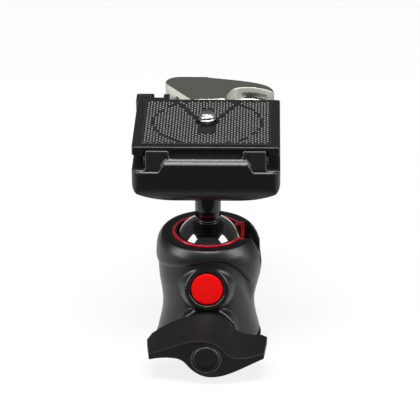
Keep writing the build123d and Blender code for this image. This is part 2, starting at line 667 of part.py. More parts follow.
# Pan brake pad: pressed down on the hub by the wedge
with BuildPart() as pan_brake_pad:
    with BuildSketch(Plane.XY.offset(HUB_TOP + FLAT_FIT)):
        Circle(BRAKE_PAD_R)
    extrude(amount=KNOB_Z - HUB_TOP)
    with BuildSketch(Plane.YZ.offset(-BRAKE_PAD_R)):
        with BuildLine():
            Polyline(
                (-BRAKE_PAD_R, KNOB_Z - WEDGE_HALF_HEIGHT - FLAT_FIT - WEDGE_SLOPE * BRAKE_PAD_R),
                (BRAKE_PAD_R, KNOB_Z - WEDGE_HALF_HEIGHT - FLAT_FIT + WEDGE_SLOPE * BRAKE_PAD_R),
                (BRAKE_PAD_R, KNOB_Z + CUT_PAST),
                (-BRAKE_PAD_R, KNOB_Z + CUT_PAST),
                close=True,
            )
        make_face()
    extrude(amount=2 * BRAKE_PAD_R, mode=Mode.SUBTRACT)
pan_brake_pad.part.label = "pan_brake_pad"
export_step(pan_brake_pad.part, "parts/pan_brake_pad.step")

# Spindle bush: threaded insert in the housing's boss, its flange inside
with BuildPart() as spindle_bush:
    with BuildSketch(knob_plane(BUSH_FLANGE_Y)):
        Circle(BUSH_R)
    extrude(amount=BUSH_FLANGE_Y - SPINDLE_BOSS_Y)
    with BuildSketch(knob_plane(BUSH_FLANGE_Y)):
        Circle(BUSH_FLANGE_R)
    extrude(amount=-BUSH_FLANGE_THICK)
    with BuildSketch(knob_plane(BUSH_FLANGE_Y)):
        Circle(SPINDLE_R + RUN_FIT)
    extrude(amount=BASE_R, both=True, mode=Mode.SUBTRACT)
spindle_bush.part.label = "spindle_bush"
export_step(spindle_bush.part, "parts/spindle_bush.step")

# Lock spindle: the knob's screw, with a nose that turns in the wedge
INSERT_BACK_Y = KNOB_HUB_BACK_Y - INSERT_SETBACK
INSERT_FRONT_Y = INSERT_BACK_Y - INSERT_LENGTH
with BuildPart() as lock_spindle:
    with BuildSketch(knob_plane(WEDGE_FRONT_Y - FLAT_FIT)):
        Circle(SPINDLE_R)
    extrude(amount=WEDGE_FRONT_Y - FLAT_FIT - INSERT_FRONT_Y)
    chamfer(lock_spindle.faces().sort_by(Axis.Y)[-1].edges(), SPINDLE_EDGE)
    with BuildSketch(knob_plane(WEDGE_FRONT_Y - FLAT_FIT)):
        Circle(SPINDLE_NOSE_R)
    extrude(amount=-SPINDLE_NOSE_LENGTH)
    with BuildSketch(knob_plane(INSERT_FRONT_Y)):
        Circle(KNOB_SCREW_R)
    extrude(amount=-KNOB_SCREW_LENGTH, mode=Mode.SUBTRACT)
lock_spindle.part.label = "lock_spindle"
export_step(lock_spindle.part, "parts/lock_spindle.step")

# Knob insert: hexagonal brass core moulded into the knob
with BuildPart() as knob_insert:
    with BuildSketch(knob_plane(INSERT_BACK_Y)):
        RegularPolygon(INSERT_R, 6)
        Circle(SPINDLE_R, mode=Mode.SUBTRACT)
    extrude(amount=INSERT_LENGTH)
knob_insert.part.label = "knob_insert"
export_step(knob_insert.part, "parts/knob_insert.step")

# Wing knob: two swept wings round a hub that widens to the back; the lower outline is the upper one
# turned through 180 degrees
WING_FRONT = [
    (-KNOB_REACH, WING_TIP_LOW),
    (-WING_SHOULDER_X, WING_SHOULDER_Z),
    (0, KNOB_HUB_R),
    (WING_ROOT_X, WING_ROOT_Z),
    (WING_HEEL_X, WING_HEEL_Z),
    (WING_DIP_X, WING_DIP_Z),
    (KNOB_REACH, WING_TIP_HIGH),
]
WING_BACK = [
    (-KNOB_BACK_REACH, BACK_TIP_LOW),
    (-BACK_SHOULDER_X, BACK_SHOULDER_Z),
    (0, KNOB_BACK_R),
    (BACK_ROOT_X, BACK_ROOT_Z),
    (BACK_HEEL_X, BACK_HEEL_Z),
    (BACK_DIP_X, BACK_DIP_Z),
    (KNOB_BACK_REACH, BACK_TIP_HIGH),
]
with BuildPart() as wing_knob:
    for outline, outline_y in ((WING_FRONT, KNOB_FRONT_Y), (WING_BACK, WING_BACK_Y)):
        with BuildSketch(knob_plane(outline_y)):
            with BuildLine():
                upper = Spline(*outline)
                lower = Spline(*[(-x, -y) for x, y in outline])
                Line(upper @ 1, lower @ 0)
                Line(lower @ 1, upper @ 0)
            make_face()
    loft(ruled=True)
    # Seen from above: a bowed front, and rear corners cut off the wings
    with BuildSketch(Plane.XY.offset(KNOB_Z - KNOB_BACK_R)):
        with BuildLine():
            wing_front_y = KNOB_FRONT_Y + KNOB_SWEEP
            bow = ThreePointArc(
                (-KNOB_BACK_REACH, wing_front_y), (0, KNOB_FRONT_Y), (KNOB_BACK_REACH, wing_front_y)
            )
            Polyline(
                bow @ 1,
                (KNOB_BACK_REACH, WING_BACK_Y - KNOB_HEEL_CUT),
                (KNOB_BACK_REACH - KNOB_HEEL_CUT, WING_BACK_Y),
                (-KNOB_BACK_REACH + KNOB_HEEL_CUT, WING_BACK_Y),
                (-KNOB_BACK_REACH, WING_BACK_Y - KNOB_HEEL_CUT),
                bow @ 0,
            )
        make_face()
    extrude(amount=2 * KNOB_BACK_R, mode=Mode.INTERSECT)
    with BuildSketch(knob_plane(KNOB_HUB_BACK_Y)):
        Circle(KNOB_BACK_R)
    extrude(amount=KNOB_HUB_STEP)
    # Recess of the cap, well of the screw, seat of the insert, way of the spindle
    with BuildSketch(knob_plane(KNOB_FRONT_Y)):
        Circle(KNOB_CAP_R + RUN_FIT)
    extrude(amount=-(KNOB_CAP_THICK + KNOB_CAP_SINK), mode=Mode.SUBTRACT)
    with BuildSketch(knob_plane(KNOB_FRONT_Y)):
        Circle(KNOB_SCREW_HEAD_R + LOOSE_FIT)
    extrude(amount=KNOB_FRONT_Y - INSERT_FRONT_Y, mode=Mode.SUBTRACT)
    with BuildSketch(knob_plane(INSERT_FRONT_Y)):
        RegularPolygon(INSERT_R, 6)
    extrude(amount=INSERT_FRONT_Y - INSERT_BACK_Y, mode=Mode.SUBTRACT)
    with BuildSketch(knob_plane(INSERT_BACK_Y)):
        Circle(SPINDLE_R + RUN_FIT)
    extrude(amount=INSERT_BACK_Y, mode=Mode.SUBTRACT)
wing_knob.part.label = "wing_knob"
export_step(wing_knob.part, "parts/wing_knob.step")

# Knob screw: holds the spindle in the insert, under the cap
with BuildPart() as knob_screw:
    with BuildSketch(knob_plane(INSERT_FRONT_Y)):
        Circle(KNOB_SCREW_HEAD_R)
    extrude(amount=KNOB_SCREW_HEAD_THICK)
    with BuildSketch(knob_plane(INSERT_FRONT_Y - KNOB_SCREW_HEAD_THICK)):
        RegularPolygon(KNOB_SCREW_HEX_R, 6)
    extrude(amount=-KNOB_SCREW_HEAD_THICK / 2, mode=Mode.SUBTRACT)
    with BuildSketch(knob_plane(INSERT_FRONT_Y)):
        Circle(KNOB_SCREW_R)
    extrude(amount=-(KNOB_SCREW_LENGTH - LOOSE_FIT))
knob_screw.part.label = "knob_screw"
export_step(knob_screw.part, "parts/knob_screw.step")

# Knob cap: pressed in the hub's front
with BuildPart() as knob_cap:
    with BuildSketch(knob_plane(KNOB_FRONT_Y + KNOB_CAP_THICK + KNOB_CAP_SINK)):
        Circle(KNOB_CAP_R)
    extrude(amount=KNOB_CAP_THICK)
    chamfer(knob_cap.faces().sort_by(Axis.Y)[0].edges(), KNOB_CAP_EDGE)
knob_cap.part.label = "knob_cap"
export_step(knob_cap.part, "parts/knob_cap.step")

# Ball and neck, one turned piece, tapped for the receiver's screw
with BuildPart() as ball:
    with Locations((0, 0, BALL_Z)):
        Sphere(BALL_R)
    with BuildSketch(Plane.XY.offset(BALL_Z)):
        Circle(NECK_R)
    extrude(amount=NECK_END - BALL_Z)
    with BuildSketch(Plane.XY.offset(NECK_END)):
        Circle(RECEIVER_SCREW_R)
    extrude(amount=-RECEIVER_SCREW_LENGTH, mode=Mode.SUBTRACT)
    with BuildSketch(Plane.XY.offset(NECK_END)):
        with Locations((NECK_R, 0)):
            Circle(DOWEL_R)
    extrude(amount=-DOWEL_LENGTH, mode=Mode.SUBTRACT)
ball.part.label = "ball"
export_step(ball.part, "parts/ball.step")

# Stem sleeve: polished tube round the neck
with BuildPart() as stem_sleeve:
    with BuildSketch(Plane.XY.offset(SLEEVE_START)):
        Circle(SLEEVE_R)
    extrude(amount=RECEIVER_LOW_Z - FLAT_FIT - SLEEVE_START)
    chamfer(stem_sleeve.edges().filter_by(GeomType.CIRCLE).sort_by(Axis.Z)[0], SLEEVE_EDGE)
    with BuildSketch(Plane.XY.offset(SLEEVE_START)):
        Circle(NECK_R + RUN_FIT)
    extrude(amount=RECEIVER_LOW_Z - SLEEVE_START, mode=Mode.SUBTRACT)
stem_sleeve.part.label = "stem_sleeve"
export_step(stem_sleeve.part, "parts/stem_sleeve.step")

# Receiver body: the clamp's casting. Its side view is drawn first, then trimmed to its front view
KEY_SLOT = catch_key(KEY_SLOT_LEFT_X, FLAT_FIT)
with BuildPart() as receiver_body:
    with BuildSketch(Plane.YZ.offset(-RECEIVER_WIDTH / 2)):
        with BuildLine():
            front = Line((RECEIVER_FRONT_Y, FRONT_WALL_TOP_Z), (RECEIVER_FRONT_Y, RECEIVER_FRONT_TURN_Z))
            chin = Spline(
                front @ 1,
                (RECEIVER_FRONT_Y + CHIN_MID_Y, RECEIVER_LOW_Z + CHIN_MID_Z),
                (RECEIVER_FRONT_Y + CHIN_LENGTH, RECEIVER_LOW_Z),
                tangents=[(0, -1), (1, 0)],
            )
            belly = Line(chin @ 1, (RECEIVER_BACK_Y - HEEL_LENGTH, RECEIVER_LOW_Z))
            heel = Spline(
                belly @ 1,
                (RECEIVER_BACK_Y - HEEL_MID_Y, RECEIVER_LOW_Z + HEEL_MID_Z),
                (RECEIVER_BACK_Y, RECEIVER_BACK_TURN_Z),
                tangents=[(1, 0), (0, 1)],
            )
            back = Line(heel @ 1, (RECEIVER_BACK_Y, FRONT_WALL_TOP_Z))
            Line(back @ 1, front @ 0)
        make_face()
    extrude(amount=RECEIVER_WIDTH)
    with BuildSketch(Plane.XZ.offset(-RECEIVER_BACK_Y)):
        with BuildLine():
            half = RECEIVER_WIDTH / 2
            keel = ThreePointArc(
                (-half + RECEIVER_CORNER_RUN, RECEIVER_LOW_Z + RECEIVER_SIDE_RISE),
                (0, RECEIVER_LOW_Z),
                (half - RECEIVER_CORNER_RUN, RECEIVER_LOW_Z + RECEIVER_SIDE_RISE),
            )
            corner_z = RECEIVER_LOW_Z + RECEIVER_SIDE_RISE + RECEIVER_CORNER_RISE
            right_round = TangentArc(keel @ 1, (half, corner_z), tangent=keel % 1)
            right_side = Polyline(
                right_round @ 1,
                (half, FRONT_WALL_SHOULDER_Z),
                (FRONT_WALL_SHOULDER_X, FRONT_WALL_SHOULDER_Z),
                (FRONT_WALL_HALF, FRONT_WALL_TOP_Z),
                (-FRONT_WALL_HALF, FRONT_WALL_TOP_Z),
                (-FRONT_WALL_SHOULDER_X, FRONT_WALL_SHOULDER_Z),
                (-half, FRONT_WALL_SHOULDER_Z),
                (-half, corner_z),
            )
            TangentArc(keel @ 0, right_side @ 1, tangent=(keel % 0) * -1)
        make_face()
    extrude(amount=RECEIVER_BACK_Y - RECEIVER_FRONT_Y, mode=Mode.INTERSECT)
    with BuildSketch(Plane.XY.offset(RECEIVER_LOW_Z)):
        with Locations((0, (RECEIVER_FRONT_Y + RECEIVER_BACK_Y) / 2)):
            RectangleRounded(RECEIVER_WIDTH, RECEIVER_BACK_Y - RECEIVER_FRONT_Y, RECEIVER_PLAN_R)
    extrude(amount=FRONT_WALL_TOP_Z - RECEIVER_LOW_Z, mode=Mode.INTERSECT)
    # Bed of the plate, behind the front wall
    with BuildSketch(Plane.XY.offset(RECEIVER_FLOOR_Z)):
        with Locations((0, FRONT_WALL_INNER_Y)):
            Rectangle(2 * RECEIVER_WIDTH, 2 * RECEIVER_WIDTH, align=(Align.CENTER, Align.MIN))
    extrude(amount=FRONT_WALL_TOP_Z - RECEIVER_FLOOR_Z + CUT_PAST, mode=Mode.SUBTRACT)
    # Jaws: their inner faces follow the plate's bevel
    for jaw_left_x in (JAW_IN_X, -JAW_IN_X - JAW_WIDTH):
        with BuildSketch(Plane.YZ.offset(jaw_left_x)):
            with BuildLine():
                Polyline(
                    (RECEIVER_FRONT_Y + JAW_SETBACK, RECEIVER_FLOOR_Z - JAW_ROOT),
                    (RECEIVER_FRONT_Y + JAW_SETBACK, FRONT_WALL_SHOULDER_Z),
                    (JAW_FRONT_TOP_Y, JAW_TOP_Z),
                    (-BEVEL_TOP_Y - LOOSE_FIT, JAW_TOP_Z),
                    (-BEVEL_LOW_Y - LOOSE_FIT, BEVEL_LOW_Z - JAW_BEVEL_DROP),
                    (-BEVEL_LOW_Y - LOOSE_FIT, RECEIVER_FLOOR_Z - JAW_ROOT),
                    close=True,
                )
            make_face()
        extrude(amount=JAW_WIDTH)
    # Right ear under the lever, for its pivot pin
    with BuildSketch(Plane.XY.offset(EAR_LOW_Z)):
        with Locations((PIVOT_X, PIVOT_Y)):
            Circle(EAR_R)
        with Locations((PIVOT_X, PIVOT_Y)):
            Rectangle(2 * EAR_R, PIVOT_Y - RECEIVER_BACK_Y + EAR_ROOT, align=(Align.CENTER, Align.MAX))
    extrude(amount=EAR_TOP_Z - EAR_LOW_Z)
    # Left ear under the catch, and the guard that its tongue runs through
    for ear_low_z, ear_high_z, ear_front_y in (
        (EAR_LOW_Z, EAR_TOP_Z, RECEIVER_BACK_Y - EAR_ROOT),
        (EAR_TOP_Z, CATCH_SEAT_Z, CATCH_FRONT_Y),
    ):
        with BuildSketch(Plane.XY.offset(ear_low_z)) as ear:
            with Locations((CATCH_EAR_LEFT_X, CATCH_BACK_Y)):
                Rectangle(
                    GUARD_RIGHT_X - CATCH_EAR_LEFT_X, CATCH_BACK_Y - ear_front_y, align=(Align.MIN, Align.MAX)
                )
            fillet(ear.vertices().group_by(Axis.Y)[-1].sort_by(Axis.X)[0], CATCH_EAR_ROUND)
        extrude(amount=ear_high_z - ear_low_z)
    with BuildSketch(Plane.XY.offset(CATCH_SEAT_Z)):
        with Locations((GUARD_LEFT_X, CATCH_BACK_Y)):
            Rectangle(
                GUARD_RIGHT_X - GUARD_LEFT_X, CATCH_BACK_Y - CATCH_FRONT_Y, align=(Align.MIN, Align.MAX)
            )
    extrude(amount=CATCH_TOP_Z - CATCH_SEAT_Z)
    with BuildSketch(Plane.YZ.offset(GUARD_LEFT_X)):
        with Locations((TONGUE_Y, TONGUE_MID_Z)):
            Rectangle(2 * (TONGUE_HALF_WIDTH + LOOSE_FIT), TONGUE_HEIGHT + 2 * LOOSE_FIT)
    extrude(amount=GUARD_RIGHT_X - GUARD_LEFT_X, mode=Mode.SUBTRACT)
    extrude(KEY_SLOT, amount=GUARD_LEFT_X - KEY_SLOT_LEFT_X, dir=(1, 0, 0), mode=Mode.SUBTRACT)
    # Bores: neck, receiver screw, dowel, pivot pin, trigger pin
    with BuildSketch(Plane.XY.offset(RECEIVER_LOW_Z - CUT_PAST)):
        Circle(NECK_R)
    extrude(amount=NECK_END - RECEIVER_LOW_Z + CUT_PAST, mode=Mode.SUBTRACT)
    with BuildSketch(Plane.XY.offset(NECK_END)):
        Circle(RECEIVER_SCREW_HEAD_R)
    extrude(amount=RECEIVER_FLOOR_Z - NECK_END + CUT_PAST, mode=Mode.SUBTRACT)
    with BuildSketch(Plane.XY.offset(NECK_END)):
        with Locations((NECK_R, 0)):
            Circle(DOWEL_R)
    extrude(amount=-DOWEL_LENGTH, mode=Mode.SUBTRACT)
    with BuildSketch(Plane.XY.offset(EAR_LOW_Z)):
        with Locations((PIVOT_X, PIVOT_Y)):
            Circle(PIVOT_R)
    extrude(amount=EAR_TOP_Z - EAR_LOW_Z, mode=Mode.SUBTRACT)
    with BuildSketch(Plane.XY.offset(TRIGGER_WELL_LOW_Z)):
        with Locations((TRIGGER_X, TRIGGER_Y)):
            Circle(TRIGGER_FOOT_R + RUN_FIT)
    extrude(amount=RECEIVER_FLOOR_Z - TRIGGER_WELL_LOW_Z, mode=Mode.SUBTRACT)
receiver_body.part.label = "receiver_body"
export_step(receiver_body.part, "parts/receiver_body.step")

# Trigger bush: screwed in over the trigger pin's foot
with BuildPart() as trigger_bush:
    with BuildSketch(Plane.XY.offset(RECEIVER_FLOOR_Z - TRIGGER_FOOT_THICK)):
        with Locations((TRIGGER_X, TRIGGER_Y)):
            Circle(TRIGGER_FOOT_R + RUN_FIT)
            Circle(TRIGGER_R + RUN_FIT, mode=Mode.SUBTRACT)
    extrude(amount=TRIGGER_FOOT_THICK)
trigger_bush.part.label = "trigger_bush"
export_step(trigger_bush.part, "parts/trigger_bush.step")

# Trigger pin: brass pin held down by the plate, rises as the lever frees it
with BuildPart() as trigger_pin:
    with BuildSketch(Plane.XY.offset(TRIGGER_FOOT_Z)):
        with Locations((TRIGGER_X, TRIGGER_Y)):
            Circle(TRIGGER_FOOT_R)
    extrude(amount=TRIGGER_FOOT_THICK)
    with BuildSketch(Plane.XY.offset(TRIGGER_FOOT_Z)):
        with Locations((TRIGGER_X, TRIGGER_Y)):
            Circle(TRIGGER_R)
    extrude(amount=PLATE_LOW_Z - FLAT_FIT - TRIGGER_FOOT_Z)
    chamfer(trigger_pin.edges().filter_by(GeomType.CIRCLE).sort_by(Axis.Z)[-1], TRIGGER_EDGE)
trigger_pin.part.label = "trigger_pin"
export_step(trigger_pin.part, "parts/trigger_pin.step")

# Trigger spring: coil under the trigger pin
trigger_coil = coil(
    TRIGGER_SPRING_R,
    TRIGGER_SPRING_WIRE_R,
    TRIGGER_SPRING_PITCH,
    TRIGGER_FOOT_Z - TRIGGER_WELL_LOW_Z - 2 * TRIGGER_SPRING_WIRE_R - 2 * FLAT_FIT,
    Plane.XY,
)
with BuildPart() as trigger_spring:
    with Locations((TRIGGER_X, TRIGGER_Y, TRIGGER_WELL_LOW_Z + TRIGGER_SPRING_WIRE_R + FLAT_FIT)):
        add(trigger_coil)
trigger_spring.part.label = "trigger_spring"
export_step(trigger_spring.part, "parts/trigger_spring.step")

# Receiver screw: fastens the receiver to the neck
with BuildPart() as receiver_screw:
    with BuildSketch(Plane.XY.offset(NECK_END)):
        Circle(RECEIVER_SCREW_HEAD_R - RUN_FIT)
    extrude(amount=RECEIVER_SCREW_HEAD_THICK)
    with BuildSketch(Plane.XY.offset(NECK_END + RECEIVER_SCREW_HEAD_THICK)):
        RegularPolygon(RECEIVER_SCREW_HEX_R, 6)
    extrude(amount=-RECEIVER_SCREW_HEAD_THICK / 2, mode=Mode.SUBTRACT)
    with BuildSketch(Plane.XY.offset(NECK_END)):
        Circle(RECEIVER_SCREW_R)
    extrude(amount=-(RECEIVER_SCREW_LENGTH - LOOSE_FIT))
receiver_screw.part.label = "receiver_screw"
export_step(receiver_screw.part, "parts/receiver_screw.step")

# Dowel: stops the receiver turning on the neck
with BuildPart() as receiver_dowel:
    with BuildSketch(Plane.XY.offset(NECK_END - DOWEL_LENGTH)):
        with Locations((NECK_R, 0)):
            Circle(DOWEL_R)
    extrude(amount=DOWEL_LENGTH)
receiver_dowel.part.label = "receiver_dowel"
export_step(receiver_dowel.part, "parts/receiver_dowel.step")

# Lever: cast paddle on the pivot pin, its jaw hooks over the plate's rear bevel
with BuildPart() as release_lever:
    with BuildSketch(Plane.XY.offset(LEVER_LOW_Z)):
        with BuildLine():
            heel_right = (PIVOT_X + LEVER_HEEL_R, PIVOT_Y)
            heel_front = (PIVOT_X, PIVOT_Y - LEVER_HEEL_R)
            heel = RadiusArc(heel_front, heel_right, -LEVER_HEEL_R)
            Spline(
                heel @ 1,
                (PIVOT_X + LEVER_FLANK_X, PIVOT_Y + LEVER_FLANK_Y),
                (PIVOT_X + LEVER_SHOULDER_X, PIVOT_Y + LEVER_SHOULDER_Y),
                (PIVOT_X + LEVER_CREST_X, PIVOT_Y + LEVER_CREST_Y),
                (LEVER_TIP_X + LEVER_TIP_ROUND, LEVER_BACK_Y),
                tangents=[(0, 1), (-1, 0)],
            )
            tip_centre = (LEVER_TIP_X + LEVER_TIP_ROUND, LEVER_BACK_Y - LEVER_TIP_ROUND)
            tip = CenterArc(tip_centre, LEVER_TIP_ROUND, start_angle=90, arc_size=90)
            Polyline(tip @ 1, (LEVER_ROOT_X, heel_front[1]), heel_front)
        make_face()
    extrude(amount=LEVER_TOP_Z - LEVER_LOW_Z)
    with BuildSketch(Plane.YZ.offset(LEVER_JAW_LEFT_X)):
        with BuildLine():
            Polyline(
                (PIVOT_Y, LEVER_JAW_LOW_Z),
                (BEVEL_LOW_Y + LOOSE_FIT, LEVER_JAW_LOW_Z),
                (BEVEL_LOW_Y + LOOSE_FIT, BEVEL_LOW_Z - JAW_BEVEL_DROP),
                (BEVEL_TOP_Y + LOOSE_FIT, LEVER_JAW_TOP_Z),
                (PIVOT_Y, LEVER_JAW_TOP_Z),
                close=True,
            )
        make_face()
    extrude(amount=LEVER_JAW_RIGHT_X - LEVER_JAW_LEFT_X)
    # Hole of the pin, pocket of the spring, pocket of the catch's tongue
    with BuildSketch(Plane.XY.offset(LEVER_LOW_Z)):
        with Locations((PIVOT_X, PIVOT_Y)):
            Circle(PIVOT_R + RUN_FIT)
    extrude(amount=PIVOT_TOP_Z - LEVER_LOW_Z + LOOSE_FIT, mode=Mode.SUBTRACT)
    with BuildSketch(Plane.XY.offset(LEVER_LOW_Z)):
        with Locations((PIVOT_X, PIVOT_Y)):
            Circle(LEVER_SPRING_POCKET_R)
    extrude(amount=LEVER_SPRING_POCKET_DEPTH, mode=Mode.SUBTRACT)
    with BuildSketch(Plane.YZ.offset(GUARD_RIGHT_X + CATCH_TRAVEL + LOOSE_FIT)):
        with Locations((TONGUE_Y, TONGUE_MID_Z)):
            Rectangle(2 * (TONGUE_HALF_WIDTH + LOOSE_FIT), TONGUE_HEIGHT + 2 * LOOSE_FIT)
    extrude(amount=-2 * CATCH_TRAVEL, mode=Mode.SUBTRACT)
release_lever.part.label = "release_lever"
export_step(release_lever.part, "parts/release_lever.step")

# Lever pin: pressed in the right ear, the lever turns on it
PIN_LOW_Z = EAR_LOW_Z - PIN_TAIL
with BuildPart() as lever_pivot_pin:
    with BuildSketch(Plane.XY.offset(PIN_LOW_Z)):
        with Locations((PIVOT_X, PIVOT_Y)):
            Circle(PIVOT_R)
    extrude(amount=PIVOT_TOP_Z - PIN_LOW_Z)
    with BuildSketch(Plane.XY.offset(EAR_LOW_Z - FLAT_FIT - CLIP_THICK)):
        with Locations((PIVOT_X, PIVOT_Y)):
            Circle(PIVOT_R)
            Circle(PIVOT_R - PIVOT_GROOVE_DEPTH, mode=Mode.SUBTRACT)
    extrude(amount=CLIP_THICK, mode=Mode.SUBTRACT)
lever_pivot_pin.part.label = "lever_pivot_pin"
export_step(lever_pivot_pin.part, "parts/lever_pivot_pin.step")

# Pivot clip: open ring in the pin's groove, under the ear
with BuildPart() as pivot_clip:
    with BuildSketch(Plane.XY.offset(EAR_LOW_Z - CLIP_THICK)):
        with Locations((PIVOT_X, PIVOT_Y)):
            Circle(PIVOT_CLIP_R)
            Circle(PIVOT_R - PIVOT_GROOVE_DEPTH + RUN_FIT, mode=Mode.SUBTRACT)
        with Locations((PIVOT_X, PIVOT_Y - PIVOT_R)):
            Rectangle(PIVOT_R, 2 * PIVOT_R, mode=Mode.SUBTRACT)
    extrude(amount=CLIP_THICK - 2 * FLAT_FIT)
pivot_clip.part.label = "pivot_clip"
export_step(pivot_clip.part, "parts/pivot_clip.step")

# Lever spring: coil round the pin, which closes the lever
lever_coil = coil(
    LEVER_SPRING_R, LEVER_SPRING_WIRE_R, LEVER_SPRING_PITCH, LEVER_SPRING_HEIGHT, Plane.XY
)
with BuildPart() as lever_spring:
    with Locations((PIVOT_X, PIVOT_Y, LEVER_LOW_Z + LEVER_SPRING_WIRE_R + LOOSE_FIT)):
        add(lever_coil)
lever_spring.part.label = "lever_spring"
export_step(lever_spring.part, "parts/lever_spring.step")

# Safety catch: ribbed slide whose tongue enters the lever and locks it
KEY = catch_key(KEY_SLOT_LEFT_X + FLAT_FIT, 0)
with BuildPart() as safety_catch:
    with BuildSketch(Plane.XY.offset(CATCH_LOW_Z)):
        with Locations((CATCH_LEFT_X, CATCH_MID_Y)):
            Rectangle(CATCH_WIDTH, CATCH_BACK_Y - CATCH_FRONT_Y, align=(Align.MIN, Align.CENTER))
    extrude(amount=CATCH_TOP_Z - CATCH_LOW_Z)
    fillet(safety_catch.edges().filter_by(Axis.Z), CATCH_EDGE_R)
    extrude(KEY, amount=CATCH_RIGHT_X - KEY_SLOT_LEFT_X - FLAT_FIT, dir=(1, 0, 0))
    with BuildSketch(Plane.YZ.offset(CATCH_LEFT_X + CATCH_WIDTH / 2)):
        with Locations((TONGUE_Y, TONGUE_MID_Z)):
            Rectangle(2 * TONGUE_HALF_WIDTH, TONGUE_HEIGHT)
    extrude(amount=GUARD_RIGHT_X - CATCH_LEFT_X - CATCH_WIDTH / 2)
    rib_x = CATCH_LEFT_X + CATCH_WIDTH / 2
    for number in range(CATCH_RIBS):
        shift = (number - (CATCH_RIBS - 1) / 2) * CATCH_RIB_PITCH
        with Locations((rib_x + shift, CATCH_MID_Y, CATCH_TOP_Z)):
            Cylinder(CATCH_RIB_R, CATCH_BACK_Y - CATCH_FRONT_Y - 2 * CATCH_RIB_INSET, rotation=(90, 0, 0))
safety_catch.part.label = "safety_catch"
export_step(safety_catch.part, "parts/safety_catch.step")

# Plate: its flange rests over the jaws, its lower block is bevelled front and back
with BuildPart() as quick_release_plate:
    with BuildSketch(Plane.YZ.offset(-PLATE_NECK_HALF_WIDTH)):
        with BuildLine():
            Polyline(
                (-BEVEL_LOW_Y, PLATE_LOW_Z),
                (-BEVEL_LOW_Y, BEVEL_LOW_Z),
                (-BEVEL_TOP_Y, PLATE_TOP_Z - PLATE_LIP),
                (BEVEL_TOP_Y, PLATE_TOP_Z - PLATE_LIP),
                (BEVEL_LOW_Y, BEVEL_LOW_Z),
                (BEVEL_LOW_Y, PLATE_LOW_Z),
                close=True,
            )
        make_face()
    extrude(amount=2 * PLATE_NECK_HALF_WIDTH)
    with BuildSketch(Plane.XY.offset(PLATE_TOP_Z - PLATE_LIP)):
        RectangleRounded(PLATE_WIDTH, PLATE_DEPTH, PLATE_CORNER_R)
    extrude(amount=PLATE_LIP)
    # End lugs, as deep as the flange's side
    with BuildSketch(Plane.XY.offset(PLATE_TOP_Z - PLATE_FLANGE)):
        RectangleRounded(PLATE_WIDTH, PLATE_DEPTH, PLATE_CORNER_R)
        Rectangle(2 * PLATE_NECK_HALF_WIDTH, 2 * PLATE_DEPTH, mode=Mode.SUBTRACT)
    extrude(amount=PLATE_FLANGE - PLATE_LIP)
    # Bed of the pad, hole of the screw, round pocket of the folding ring
    with BuildSketch(Plane.XY.offset(PAD_LOW_Z)):
        Rectangle(PAD_WIDTH, PAD_DEPTH)
    extrude(amount=PAD_THICK, mode=Mode.SUBTRACT)
    with BuildSketch(Plane.XY.offset(PAD_LOW_Z)):
        Circle(PAD_HOLE_R)
    extrude(amount=-SCREW_RING_THICK - 2 * FLAT_FIT, mode=Mode.SUBTRACT)
    with BuildSketch(Plane.XY.offset(PLATE_LOW_Z)):
        Circle(PLATE_HOLE_R)
    extrude(amount=PLATE_TOP_Z - PLATE_LOW_Z, mode=Mode.SUBTRACT)
    with BuildSketch(Plane.XY.offset(PLATE_LOW_Z)):
        Circle(RING_POCKET_R)
    extrude(amount=RING_POCKET_DEPTH, mode=Mode.SUBTRACT)
quick_release_plate.part.label = "quick_release_plate"
export_step(quick_release_plate.part, "parts/quick_release_plate.step")

# Pad: rubber facing under the camera
with BuildPart() as plate_pad:
    with BuildSketch(Plane.XY.offset(PAD_LOW_Z)):
        Rectangle(PAD_WIDTH, PAD_DEPTH)
        Circle(PAD_HOLE_R, mode=Mode.SUBTRACT)
    extrude(amount=PAD_THICK)
    chamfer(plate_pad.faces().sort_by(Axis.Z)[-1].outer_wire().edges(), PAD_EDGE)
plate_pad.part.label = "plate_pad"
export_step(plate_pad.part, "parts/plate_pad.step")

# Camera screw: slotted head below, necked shank, thread above the pad
POCKET_TOP_Z = PLATE_LOW_Z + RING_POCKET_DEPTH
HEAD_LOW_Z = POCKET_TOP_Z - FLAT_FIT - CAMERA_HEAD_THICK
D_RING_Z = HEAD_LOW_Z + CAMERA_HEAD_THICK / 2
with BuildPart() as camera_screw:
    with BuildSketch(Plane.XY.offset(HEAD_LOW_Z)):
        Circle(CAMERA_HEAD_R)
    extrude(amount=CAMERA_HEAD_THICK)
    with BuildSketch(Plane.XY.offset(HEAD_LOW_Z)):
        Rectangle(CAMERA_SLOT_WIDTH, 2 * CAMERA_HEAD_R)
    extrude(amount=CAMERA_SLOT_DEPTH, mode=Mode.SUBTRACT)
    with BuildSketch(Plane.XY.offset(HEAD_LOW_Z + CAMERA_HEAD_THICK)):
        Circle(CAMERA_NECK_R)
    extrude(amount=CAMERA_THREAD_LOW_Z - HEAD_LOW_Z - CAMERA_HEAD_THICK)
    with BuildSketch(Plane.XY.offset(CAMERA_THREAD_LOW_Z)):
        Circle(CAMERA_THREAD_R)
    extrude(amount=CAMERA_SCREW_TOP_Z - CAMERA_THREAD_LOW_Z)
    chamfer(camera_screw.edges().filter_by(GeomType.CIRCLE).sort_by(Axis.Z)[-1], CAMERA_THREAD_EDGE)
    with BuildSketch(Plane.YZ.offset(-CAMERA_HEAD_R)):
        with Locations((0, D_RING_Z)):
            Circle(D_RING_WIRE_R + RUN_FIT)
    extrude(amount=2 * CAMERA_HEAD_R, mode=Mode.SUBTRACT)
camera_screw.part.label = "camera_screw"
export_step(camera_screw.part, "parts/camera_screw.step")

